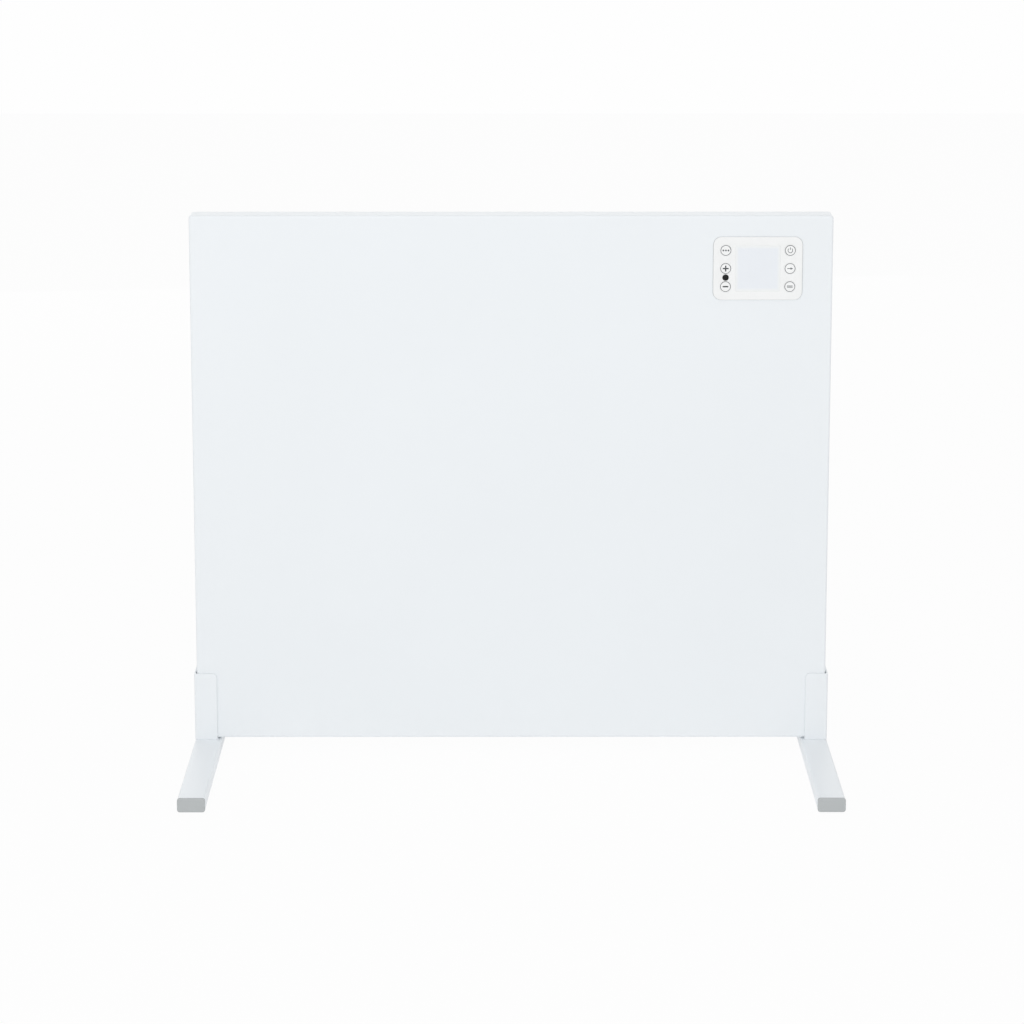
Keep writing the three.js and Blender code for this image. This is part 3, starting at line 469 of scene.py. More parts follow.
@dataclass(frozen=True)
class MicaSheet(Finish):
    """Pressed mica with pale flakes in its binder."""

    tones: Spread = Spread(Grain(Pattern.CELLS, 2.2 * MM), 0.8, 1.2)
    patches: Spread = Spread(clouds(18 * MM, 3.0), 0.0, 0.4, (0.45, 0.7))
    patch: float = 0.7
    gloss: Spread = Spread(FLAKES, -0.2, 0.1)
    reliefs: tuple[tuple[Grain, float], ...] = ((FLAKES, 0.03 * MM),)


ACROSS, UP = (clouds(0.5 * MM, 4.0, lie) for lie in ((0.12, 1.0, 1.0), (1.0, 1.0, 0.12)))


@dataclass(frozen=True)
class MineralWool(Finish):
    """Pressed mineral wool, with fibres that lie two ways in its faces."""

    specular: float = 0.2
    tones: Spread = Spread(ACROSS, 0.78, 1.0)
    patches: Spread = Spread(UP, 0.0, 1.0, (0.5, 0.65))
    patch: float = 1.1
    reliefs: tuple[tuple[Grain, float], ...] = ((ACROSS, 0.15 * MM), (UP, 0.15 * MM))


TRACKS = Grain(Pattern.TRACKS, 2.54 * MM, inputs=(
    ("Mortar Size", 0.12), ("Mortar Smooth", 0.1), ("Brick Width", 2.5), ("Row Height", 0.8)))


@dataclass(frozen=True)
class CircuitLaminate(Finish):
    """Glass laminate under solder mask, with lighter tracks that show through."""

    tones: Spread = Spread(clouds(20 * MM), 0.9, 1.1)
    patches: Spread = Spread(TRACKS, 0.0, 1.0)
    patch: Colour = Colour(62, 128, 80)
    reliefs: tuple[tuple[Grain, float], ...] = ((TRACKS, 0.04 * MM),)


TURNS = Grain(Pattern.TURNS, 1 * MM, (1.0, 0.0, 0.0), (("Distortion", 0.4),))


@dataclass(frozen=True)
class WoundWire(Finish):
    """Enamelled wire in close turns round a core."""

    metallic: float = 0.8
    tones: Spread = Spread(TURNS, 0.6, 1.0)
    reliefs: tuple[tuple[Grain, float], ...] = ((TURNS, 0.1 * MM),)


WEAVE = Grain(Pattern.CHECKS, 0.9 * MM)


@dataclass(frozen=True)
class BraidedSleeve(Finish):
    """Woven glass sleeve round a lead, with strands that cross."""

    specular: float = 0.3
    tones: Spread = Spread(WEAVE, 0.86, 1.0)
    patches: Spread = Spread(clouds(0.3 * MM, 3.0), 0.0, 0.3)
    patch: float = 0.7
    reliefs: tuple[tuple[Grain, float], ...] = ((WEAVE, 0.08 * MM),)


@dataclass(frozen=True)
class PrintedInk(Finish):
    """Pad-printed ink, with pinholes where the pad lifted."""

    roughness: float = 0.5
    specular: float = 0.3
    tones: Spread = Spread(clouds(0.25 * MM, 3.0), 0.94, 1.06)


class Ink(Enum):
    """The inks, by their colour."""

    DARK = Colour(66, 70, 72)
    MID = Colour(112, 116, 119)
    WHITE = Colour(228, 230, 230)


class Palette:
    """The material of each slot and ink, made once and shared by the pieces."""

    def __init__(self, window: DisplayWindow) -> None:
        """Makes every material.

        Args:
            window: the finish of the display window, which knows where the window is.
        """
        finishes: dict[Slot, Finish] = {
            Slot.WHITE_STEEL: PowderCoat(Colour(239, 243, 246), 0.42),
            Slot.WHITE_PLASTIC: MouldedPlastic(Colour(245, 246, 246), 0.32),
            Slot.KEY_PLASTIC: MouldedPlastic(Colour(246, 247, 247), 0.3),
            Slot.DISPLAY_WINDOW: window,
            Slot.RECEIVER_BLACK: DarkWindow(Colour(20, 22, 21), 0.12),
            Slot.END_CAP_GREY: MouldedPlastic(
                Colour(183, 187, 188), 0.5, reliefs=((SPARKS, 0.03 * MM),)),
            Slot.ZINC_STEEL: ZincPlate(Colour(196, 200, 202), 0.38),
            Slot.BARE_STEEL: RolledSteel(Colour(183, 186, 189), 0.35),
            Slot.MICA_BOARD: MicaSheet(Colour(180, 155, 108), 0.65),
            Slot.WOOL_BOARD: MineralWool(Colour(217, 211, 194), 0.95),
            Slot.CIRCUIT_BOARD: CircuitLaminate(Colour(38, 98, 60), 0.45),
            Slot.HOUSING_GREY: MouldedPlastic(
                Colour(109, 114, 117), 0.6, reliefs=((SPARKS, 0.03 * MM),)),
            Slot.BLACK_PLASTIC: MouldedPlastic(
                Colour(35, 38, 36), 0.42, reliefs=((SPARKS, 0.02 * MM),)),
            Slot.ROCKER_BLACK: MouldedPlastic(Colour(26, 27, 27), 0.25),
            Slot.COPPER_WINDING: WoundWire(Colour(181, 112, 58), 0.35),
            Slot.GREY_PLASTIC: MouldedPlastic(Colour(185, 190, 190), 0.55),
            Slot.LEAD_SLEEVE: BraidedSleeve(Colour(215, 211, 200), 0.7),
        }
        self.slots = {slot: look.recipe(slot.value).material for slot, look in finishes.items()}
        self.inks = {ink: PrintedInk(ink.value).recipe(f"ink_{ink.name.lower()}").material
                     for ink in Ink}


# Outlines, as lists of points that run anticlockwise


def turned(angles: Iterable[float]) -> list[Point]:
    """Returns the cosine and the sine of each angle in degrees."""
    return [(math.cos(math.radians(angle)), math.sin(math.radians(angle))) for angle in angles]


def arc(centre: Point, radius: float, start: float, end: float, steps: int) -> list[Point]:
    """Makes points along an arc.

    Args:
        centre: the arc's centre.
        radius: its radius.
        start: its first angle in degrees.
        end: its last angle in degrees.
        steps: how many straight steps it has.

    Returns:
        The points, both ends among them.
    """
    angles = [start + (end - start) * step / steps for step in range(steps + 1)]
    return [(centre[0] + radius * c, centre[1] + radius * s) for c, s in turned(angles)]


def rounded(width: float, height: float, radius: float, steps: int = ROUGH_STEPS) -> list[Point]:
    """Makes a rectangle with round corners, about its middle.

    Args:
        width: the size across.
        height: the size up.
        radius: the corner's radius.
        steps: how many steps each corner has.

    Returns:
        The outline.
    """
    radius = max(radius, LEAST_RADIUS)
    across, up = width / 2 - radius, height / 2 - radius
    corners = ((across, -up, -90), (across, up, 0), (-across, up, 90), (-across, -up, 180))
    return [point for x, y, turn in corners
            for point in arc((x, y), radius, turn, turn + 90, steps)]


def circle(radius: float, sides: int = ROUND_SIDES) -> list[Point]:
    """Makes a circle about the middle, with its first point straight below."""
    return arc((0.0, 0.0), radius, -90, 270, sides)[:-1]


def shifted(outline: Iterable[Point], across: float, up: float) -> list[Point]:
    """Moves an outline, and returns the new one."""
    return [(x + across, y + up) for x, y in outline]


def bar(width: float, height: float) -> list[Point]:
    """Makes a bar with half-round ends or sides, about the middle."""
    return rounded(width, height, min(width, height) / BAR_ROUND, FOLD_STEPS)


def cross(reach: float, arm: float) -> list[Point]:
    """Makes a cross about the middle, from an arm's reach and half its width."""
    right = [(arm, -reach), (arm, -arm), (reach, -arm), (reach, arm), (arm, arm), (arm, reach)]
    return right + [(-x, -y) for x, y in right]


def grown(outline: Sequence[Point], distance: float) -> list[Point]:
    """Moves each side of an outline outwards.

    Args:
        outline: the outline.
        distance: how far, or less than zero to move the sides inwards.

    Returns:
        The new outline, with as many points.
    """
    points = []
    for index, (x, y) in enumerate(outline):
        before, after = outline[index - 1], outline[(index + 1) % len(outline)]
        back = Vector((x - before[0], y - before[1])).normalized()
        on = Vector((after[0] - x, after[1] - y)).normalized()
        normal = Vector((back.y + on.y, -back.x - on.x)).normalized()
        reach = distance / max(LEAST_BEND, normal.dot(Vector((on.y, -on.x))))
        points.append((x + normal.x * reach, y + normal.y * reach))
    return points


def edge_round(radius: float, depth: float, out: int, steps: int = FOLD_STEPS) -> list[Point]:
    """Lists the insets and depths of a rounded outer edge, from the side to the face.

    Args:
        radius: the edge's radius.
        depth: the depth of the face.
        out: minus one where the face is at the low end of the depth, one at the high end.
        steps: how many steps the edge has.

    Returns:
        Pairs of inset and depth.
    """
    return [(radius * (1 - c), depth - out * radius * (1 - s))
            for c, s in turned(90 * step / steps for step in range(steps + 1))]


# Places, boxes and shells


def along_x(y: float = 0.0, z: float = 0.0) -> Place:
    """Outlines stand across X about a point and follow each other to the right."""
    return lambda back, up, reach: Vector((reach, y + back, z + up))


def along_y(x: float = 0.0, z: float = 0.0) -> Place:
    """Outlines stand upright about a point and follow each other to the back."""
    return lambda across, up, depth: Vector((x + across, depth, z + up))


def along_z(x: float = 0.0, y: float = 0.0) -> Place:
    """Outlines lie flat about a point and follow each other upwards."""
    return lambda across, back, height: Vector((x + across, y + back, height))


class Box:
    """A node's box in the frame: its corners, middle and size."""

    def __init__(self, node: str) -> None:
        """Looks up the box of a node."""
        self.low, self.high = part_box(node)
        self.centre, self.size = (self.low + self.high) / 2, self.high - self.low

    def shell(self) -> "Shell":
        """Starts a shell of upright outlines about the box's middle."""
        return Shell(along_y(self.centre.x, self.centre.z))

    def face(self, corner: float, steps: int = CORNER_STEPS, margin: float = 0.0) -> Outline:
        """Lays out the front face, less a margin, with round corners.

        Args:
            corner: the corner's radius.
            steps: how many steps each corner has.
            margin: how far in from the box.

        Returns:
            What gives the outline for an inset.
        """
        width, height = self.size.x - 2 * margin, self.size.z - 2 * margin
        return lambda inset: rounded(width - 2 * inset, height - 2 * inset, corner - inset, steps)


class Shell:
    """A closed skin under construction, made of loops of points with faces between them."""

    def __init__(self, place: Place) -> None:
        """Starts an empty shell, with what turns outline points and depths into places."""
        self.skin = bmesh.new()
        self.place = place

    def loop(self, outline: Iterable[Point], depth: float) -> Loop:
        """Adds the points of one outline at a depth, and returns them."""
        return [self.skin.verts.new(self.place(u, v, depth)) for u, v in outline]

    def face(self, *corners: bmesh.types.BMVert) -> None:
        """Adds one face."""
        self.skin.faces.new(corners)

    def chain(self, loops: Sequence[Loop], closed: bool = True,
              gaps: Sequence[int] = ()) -> Sequence[Loop]:
        """Joins each loop to the next.

        Args:
            loops: loops of as many points.
            closed: whether the loops close on themselves.
            gaps: the numbers of sides that stay open.

        Returns:
            The same loops.
        """
        for first, second in zip(loops, loops[1:]):
            for index in range(len(first) if closed else len(first) - 1):
                if index not in gaps:
                    after = (index + 1) % len(first)
                    self.face(first[index], first[after], second[after], second[index])
        return loops

    def run(self, outline: Outline, stations: Iterable[Point]) -> Sequence[Loop]:
        """Joins one loop for each station, a pair of inset and depth, and returns them."""
        return self.chain([self.loop(outline(inset), depth) for inset, depth in stations])

    def lid(self, rim: Loop, holes: Sequence[Loop] = ()) -> None:
        """Closes a flat loop, round the holes in it.

        Args:
            rim: the outer loop.
            holes: loops inside it that stay open.
        """
        if not holes:
            self.face(*rim)
            return
        rings = [rim, *holes]
        every = [vert for ring in rings for vert in ring]
        for corners in tessellate_polygon([[vert.co for vert in ring] for ring in rings]):
            if len(set(corners)) == 3:
                self.face(*(every[corner] for corner in corners))

    def close(self, *rims: Loop) -> None:
        """Closes flat loops without holes."""
        for rim in rims:
            self.lid(rim)

    def lathe(self, profile: Sequence[Point], sides: int = ROUND_SIDES) -> None:
        """Turns pairs of radius and depth into a closed round solid."""
        rings = self.run(lambda radius: circle(radius, sides), profile)
        self.close(rings[0], rings[-1])

    def plates(self, shapes: Iterable[Sequence[Sequence[Point]]], low: float, high: float) -> None:
        """Adds flat plates.

        Args:
            shapes: for each plate its outline, followed by the outlines of its holes.
            low: the depth of one face.
            high: the depth of the other face.
        """
        for rings in shapes:
            layers = [[self.loop(ring, depth) for ring in rings] for depth in (low, high)]
            for walls in zip(*layers):
                self.chain(walls)
            for rim, *holes in layers:
                self.lid(rim, holes)

    def end(self, name: str, material: bpy.types.Material, crease: float) -> bpy.types.Object:
        """Ends the shell.

        Args:
            name: the piece's name.
            material: the material of all its faces.
            crease: edges that bend by more degrees than this stay sharp.

        Returns:
            The new piece, in the scene.
        """
        bmesh.ops.recalc_face_normals(self.skin, faces=self.skin.faces)
        mesh = bpy.data.meshes.new(name)
        self.skin.to_mesh(mesh)
        self.skin.free()
        mesh.materials.append(material)
        smooth(mesh, crease)
        return linked(name, mesh)


def linked(name: str, data: bpy.types.ID) -> bpy.types.Object:
    """Makes an object of a mesh, a lamp or a camera.

    Args:
        name: the object's name.
        data: what it holds.

    Returns:
        The object, in the scene.
    """
    thing = bpy.data.objects.new(name, data)
    bpy.context.scene.collection.objects.link(thing)
    return thing


def smooth(mesh: bpy.types.Mesh, crease: float) -> None:
    """Shades a mesh smooth, but for edges that bend by more degrees than the crease."""
    mesh.shade_smooth()
    mesh.set_sharp_from_angle(angle=math.radians(crease))


@dataclass(frozen=True)
class Bore:
    """A round hole to drill: its axis, its radius and the depths of its ends."""

    axis: Place
    radius: float
    low: float
    high: float

    def cut(self, piece: bpy.types.Object) -> None:
        """Drills the bore, which gives the piece a new mesh.

        Args:
            piece: the piece.
        """
        shell = Shell(self.axis)
        shell.lathe([(self.radius, self.low), (self.radius, self.high)])
        rod = shell.end("rod", piece.data.materials[0], CREASE)
        cut = piece.modifiers.new("bore", "BOOLEAN")
        cut.operation, cut.solver, cut.object = "DIFFERENCE", "EXACT", rod
        bpy.context.view_layer.update()
        bored = piece.evaluated_get(bpy.context.evaluated_depsgraph_get())
        shaped = bpy.data.meshes.new_from_object(bored)
        piece.modifiers.clear()
        piece.data = shaped
        bpy.data.objects.remove(rod)
        smooth(shaped, CREASE)


@dataclass
class Assembly:
    """A sub-assembly under construction, with the materials of its pieces."""

    palette: Palette

    def settle(self, shell: Shell, name: str, slot: Slot, body: str = CASING, *,
               ink: Ink | None = None, bores: Sequence[Bore] = (), crease: float = CREASE) -> None:
        """Ends a shell as a piece, cuts its bores, hangs it on its body, hides the node it stands for, and reports
        it.

        Args:
            shell: the shell.
            name: the node that it stands for, or else the name of a piece of its own.
            slot: the slot of its finish.
            body: the body it moves with.
            ink: the ink, if it is printed.
            bores: holes to cut in it.
            crease: edges that bend by more degrees than this stay sharp.
        """
        known = name in frame["nodes"]
        material = self.palette.inks[ink] if ink else self.palette.slots[slot]
        piece = shell.end(f"{name}_dressed" if known else name, material, crease)
        for bore in bores:
            bore.cut(piece)
        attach(piece, body)
        if known:
            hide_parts(name)
        log.info("%s: %d faces, moves with %s", piece.name, len(piece.data.polygons), body)


# The casing: front panel, rear cover, wall rails and their screws


@dataclass
class PanScrew(Assembly):
    """Pan-head screw with a cross recess."""

    head_radius: float
    head_height: float
    shank_radius: float
    tip_shares: tuple[Point, ...] = ((0.3, 0.0), (0.75, 0.12))
    thread_start: float = 0.15
    thread_share: float = 0.75
    thread_pitch: float = 1.2 * MM
    thread_depth: float = 0.16 * MM
    flange: float = 0.35 * MM
    crown: float = 0.25 * MM
    dome_share: float = 0.28
    dome_angles: Triple = (25.0, 50.0, 72.0)
    recess_share: float = 0.62
    recess_reach: float = 0.86
    recess_depth: float = 0.6
    arm_share: float = 0.1
    floor_shares: Point = (0.55, 0.8)

    def profile(self, length: float) -> list[Point]:
        """Lists a screw's radii and heights, from its tip up to its recess.

        Args:
            length: the shank's length.

        Returns:
            Pairs of radius and height above the tip.
        """
        head, root = self.head_radius, self.shank_radius - self.thread_depth
        rim, dome = length + self.flange, self.head_height - self.crown - self.flange
        profile = [(share * self.shank_radius, up * length) for share, up in self.tip_shares]
        for turn in range(int(length * self.thread_share / self.thread_pitch)):
            foot = self.thread_start * length + turn * self.thread_pitch
            profile += [(root, foot), (self.shank_radius, foot + self.thread_pitch / 2)]
        return [*profile, (root, length), (head, length), (head, rim),
                *((head * (1 - self.dome_share * (1 - c)), rim + dome * s)
                  for c, s in turned(self.dome_angles)),
                (head * self.recess_share, length + self.head_height)]

    def drive(self, node: str, upwards: bool = False) -> None:
        """Makes the screw where its node is.

        Args:
            node: the node that it stands for.
            upwards: whether its tip points up, and not to the front.
        """
        box = Box(node)
        if upwards:
            shell, top, tip, out = Shell(along_z(*box.centre.xy)), box.low.z, box.high.z, -1
        else:
            shell, top, tip, out = box.shell(), box.high.y, box.low.y, 1
        profile = self.profile(abs(top - tip) - self.head_height)
        rings = shell.run(lambda radius: circle(radius, SCREW_SIDES),
                          [(radius, tip + out * up) for radius, up in profile])
        reach = self.head_radius * self.recess_share * self.recess_reach
        arm, (less_reach, less_arm) = self.head_radius * self.arm_share, self.floor_shares
        depth = out * self.head_height * self.recess_depth
        recess = [shell.loop(cross(reach, arm), top),
                  shell.loop(cross(reach * less_reach, arm * less_arm), top - depth)]
        shell.lid(rings[-1], [recess[0]])
        shell.chain(recess)
        shell.close(rings[0], recess[1])
        self.settle(shell, node, Slot.ZINC_STEEL, crease=SCREW_CREASE)


@dataclass
class Casing(Assembly):
    """The folded front tray, the sheet that closes it, the two wall rails and their screws."""

    screw: PanScrew
    sheet: float = 0.8 * MM
    fold: float = 2.0 * MM
    corner: float = 3.0 * MM
    lip: float = 14.0 * MM
    lip_fold: float = 1.0 * MM
    support: float = 0.5 * MM
    opening_corner: float = 3.3 * MM
    housing_wall: float = 1.5 * MM
    rocker_rim: float = 1.1 * MM
    gland_hole: float = 5.3 * MM
    cover_edge: float = 0.2 * MM
    screw_hole: float = 1.8 * MM
    air_slot: Point = (3.2 * MM, 26.0 * MM)
    slot_pitch: float = 10.0 * MM
    slot_count: int = 12
    slots_from_edge: float = 55.0 * MM
    rail_sheet: float = 1.2 * MM
    rail_flange: float = 10.0 * MM
    rail_bend: float = 1.6 * MM
    keyhole_from_end: float = 25.0 * MM
    keyhole_radius: float = 5.0 * MM
    keyhole_slot: float = 2.5 * MM
    keyhole_travel: float = 9.0 * MM
    weld_radius: float = 2.2 * MM
    weld_dent: float = 0.25 * MM
    weld_profile: tuple[Point, ...] = ((1.0, 0.0), (0.9, 0.55), (0.72, 0.7), (0.55, 0.2))
    weld_count: int = 5
    weld_level: float = 0.45

    def front_panel(self) -> None:
        """Makes the front tray: a flat face, rolled edges and an inward lip at the back."""
        tray, sheet = Box("front_panel"), self.sheet
        hole = Box("control_housing").face(self.opening_corner, ROUGH_STEPS, self.housing_wall)
        across, _, up = Box("control_bezel").centre - tray.centre
        front, back = tray.low.y, tray.high.y
        outside = [*reversed(edge_round(self.lip_fold, back, 1, MOUTH_STEPS)),
                   *edge_round(self.fold, front, -1, CORNER_STEPS),
                   (self.fold + self.support, front)]
        inner_fold = edge_round(self.fold - sheet, front + sheet, -1)
        inside = [*((inset + sheet, depth) for inset, depth in reversed(inner_fold)),
                  (sheet, back - sheet), (self.lip, back - sheet), (self.lip, back),
                  (self.lip_fold + self.support, back)]
        shell = tray.shell()
        outer, inner = (shell.run(tray.face(self.corner), side) for side in (outside, inside))
        shell.chain([inner[-1], outer[0]])
        rims = shell.run(lambda inset: shifted(hole(inset), across, up),
                         [(-self.support, front), (0.0, front), (0.0, front + sheet)])
        shell.lid(outer[-1], [rims[0]])
        shell.lid(inner[0], [rims[-1]])
        self.settle(shell, "front_panel", Slot.WHITE_STEEL)

    def slot_row(self, node: str, level: float) -> list[list[Point]]:
        """Makes a row of upright air slots behind a node.

        Args:
            node: the node, whose middle is the row's middle along X.
            level: where the slots' middles are along Z.

        Returns:
            One outline for each slot.
        """
        first = Box(node).centre.x - (self.slot_count - 1) * self.slot_pitch / 2
        return [shifted(bar(*self.air_slot), first + index * self.slot_pitch, level)
                for index in range(self.slot_count)]

    def rear_cover(self) -> None:
        """Makes the flat sheet at the back, with its slots and holes."""
        cover, tray, rocker = Box("rear_cover"), Box("front_panel"), Box("rocker_body")
        rim, edge, front, back = self.rocker_rim, self.cover_edge, cover.low.y, cover.high.y
        gland, screws = Box("cord_gland").centre, [Box(node).centre for node in COVER_SCREWS]
        openings = [
            *(shifted(circle(self.screw_hole, SMALL_SIDES), spot.x, spot.z) for spot in screws),
            shifted(rounded(rocker.size.x - 2 * rim, rocker.size.z - 2 * rim, rim),
                    rocker.centre.x, rocker.centre.z),
            shifted(circle(self.gland_hole), gland.x, gland.z),
            *self.slot_row("power_tray", tray.high.z - self.slots_from_edge),
            *self.slot_row("room_sensor", tray.low.z + self.slots_from_edge)]
        shell = cover.shell()
        loops = shell.run(cover.face(self.corner), [
            (edge, front), (0.0, front + edge), (0.0, back - edge), (edge, back),
            (edge + self.support, back)])
        walls = [shell.chain([
            shell.loop(shifted(opening, -cover.centre.x, -cover.centre.z), depth)
            for depth in (front, back)]) for opening in openings]
        for layer in (0, -1):
            shell.lid(loops[layer], [wall[layer] for wall in walls])
        self.settle(shell, "rear_cover", Slot.WHITE_STEEL)

    def rail_side(self, rail: Box, offset: float) -> list[Point]:
        """Makes one side of the hat-shaped rail, from its upper foot to its lower one.

        Args:
            rail: the rail's box.
            offset: how far into the sheet from the side that the cover sees.

        Returns:
            Pairs of Y and Z.
        """
        foot, bend, wide = rail.size.z / 2, self.rail_bend, self.rail_bend + self.rail_sheet
        web, near, far = foot - self.rail_flange, rail.low.y, rail.high.y
        upper = [(near + offset, foot),
                 *arc((near + wide, web + bend), wide - offset, 180, 270, FOLD_STEPS),
                 *arc((far - wide, web - wide), bend + offset, 90, 0, FOLD_STEPS)]
        return shifted(upper + [(y, -z) for y, z in reversed(upper)], 0.0, rail.centre.z)

    def keyhole(self, across: float, level: float) -> list[Point]:
        """Makes a keyhole: a round eye for the screw's head with a slot above it.

        Args:
            across: where it is along X.
            level: where its middle is along Z.

        Returns:
            Its outline.
        """
        eye, half, travel = self.keyhole_radius, self.keyhole_slot, self.keyhole_travel / 2
        start = math.degrees(math.asin(half / eye))
        return [*arc((across, level - travel), eye, 90 + start, 450 - start, SMALL_SIDES),
                *arc((across, level + travel), half, 0, 180, CORNER_STEPS)]

    def rail(self, node: str, keyed: bool) -> None:
        """Makes a wall rail with bent corners.

        Args:
            node: the node that it stands for.
            keyed: whether its web has the two keyholes.
        """
        rail, shell, sheet = Box(node), Shell(along_x()), self.rail_sheet
        inside, outside = self.rail_side(rail, 0.0), self.rail_side(rail, sheet)
        count = len(inside)
        webs = (count // 2 - 1, count + count // 2 - 1) if keyed else ()
        left, right = shell.chain([shell.loop([*inside, *reversed(outside)], x)
                                   for x in (rail.low.x, rail.high.x)], gaps=webs)
        for ring in (left, right):
            shell.chain([ring[:count], ring[:count - 1:-1]], closed=False)
        spread = rail.size.x / 2 - self.keyhole_from_end
        shell.place = along_y()
        walls = [shell.chain([shell.loop(self.keyhole(across, rail.centre.z), depth)
                              for depth in (rail.high.y - sheet, rail.high.y)])
                 for across in (-spread, spread) if keyed]
        for layer, web in enumerate(webs):
            shell.lid([left[web], right[web], right[web + 1], left[web + 1]],
                      [wall[layer] for wall in walls])
        self.settle(shell, node, Slot.ZINC_STEEL)

    def weld_marks(self, node: str) -> None:
        """Makes the shallow rings that the spot welds leave on a rail's feet.

        Args:
            node: the rail's node.
        """
        rail, marks = Box(node), Shell(along_y())
        rise, step = self.rail_flange * self.weld_level, rail.size.x / self.weld_count
        face = rail.low.y + self.rail_sheet
        profile = [(self.weld_radius * share, face + up * self.weld_dent)
                   for share, up in self.weld_profile]
        for level in (rail.low.z + rise, rail.high.z - rise):
            for index in range(self.weld_count):
                marks.place = along_y(rail.low.x + (index + 0.5) * step, level)
                marks.lathe(profile, SMALL_SIDES)
        self.settle(marks, f"{node}_spot_welds", Slot.ZINC_STEEL)

    def build(self) -> None:
        """Makes the whole casing."""
        self.front_panel()
        self.rear_cover()
        self.rail("hanging_rail_top", True)
        self.rail("hanging_rail_bottom", False)
        for node in ("hanging_rail_top", "hanging_rail_bottom"):
            self.weld_marks(node)
        for node in COVER_SCREWS:
            self.screw.drive(node)


# The control unit: bezel, grey ring that paints the shadow line round it, display window, keys with their prints,
# infrared eye


class Key(Enum):
    """The six keys, by their node."""

    MODE = "key_mode"
    PLUS = "key_plus"
    MINUS = "key_minus"
    POWER = "key_power"
    SET = "key_set"
    MENU = "key_menu"

    def picture(self) -> list[list[Point]]:
        """Draws the picture that is printed on the key.

        Returns:
            Its shapes about the key's middle, in millimetres.
        """
        if self is Key.MODE:
            dot, pitch = 0.85, 2.35
            return [shifted(circle(dot, SMALL_SIDES), x, 0.0) for x in (-pitch, 0.0, pitch)]
        if self is Key.PLUS:
            reach, half_stroke = 2.75, 0.6
            return [cross(reach, half_stroke)]
        if self is Key.MINUS:
            length, stroke = 5.5, 1.3
            return [bar(length, stroke)]
        if self is Key.POWER:
            middle, outer, inner, start, end, steps = (0.0, 0.0), 2.45, 1.85, 128, 412, 28
            stroke, length, level = 0.6, 2.3, 1.75
            ring = arc(middle, outer, start, end, steps) + arc(middle, inner, end, start, steps)
            return [ring, shifted(bar(stroke, length), 0.0, level)]
        if self is Key.SET:
            stroke, knob, (long, left), (short, right) = 0.7, 0.9, (2.6, -1.35), (0.85, 2.25)
            return [shifted(bar(long, stroke), left, 0.0),
                    shifted(circle(knob, SMALL_SIDES), knob, 0.0),
                    shifted(bar(short, stroke), right, 0.0)]
        length, stroke, pitch = 5.4, 0.45, 0.85
        return [shifted(bar(length, stroke), 0.0, level) for level in (-pitch, 0.0, pitch)]


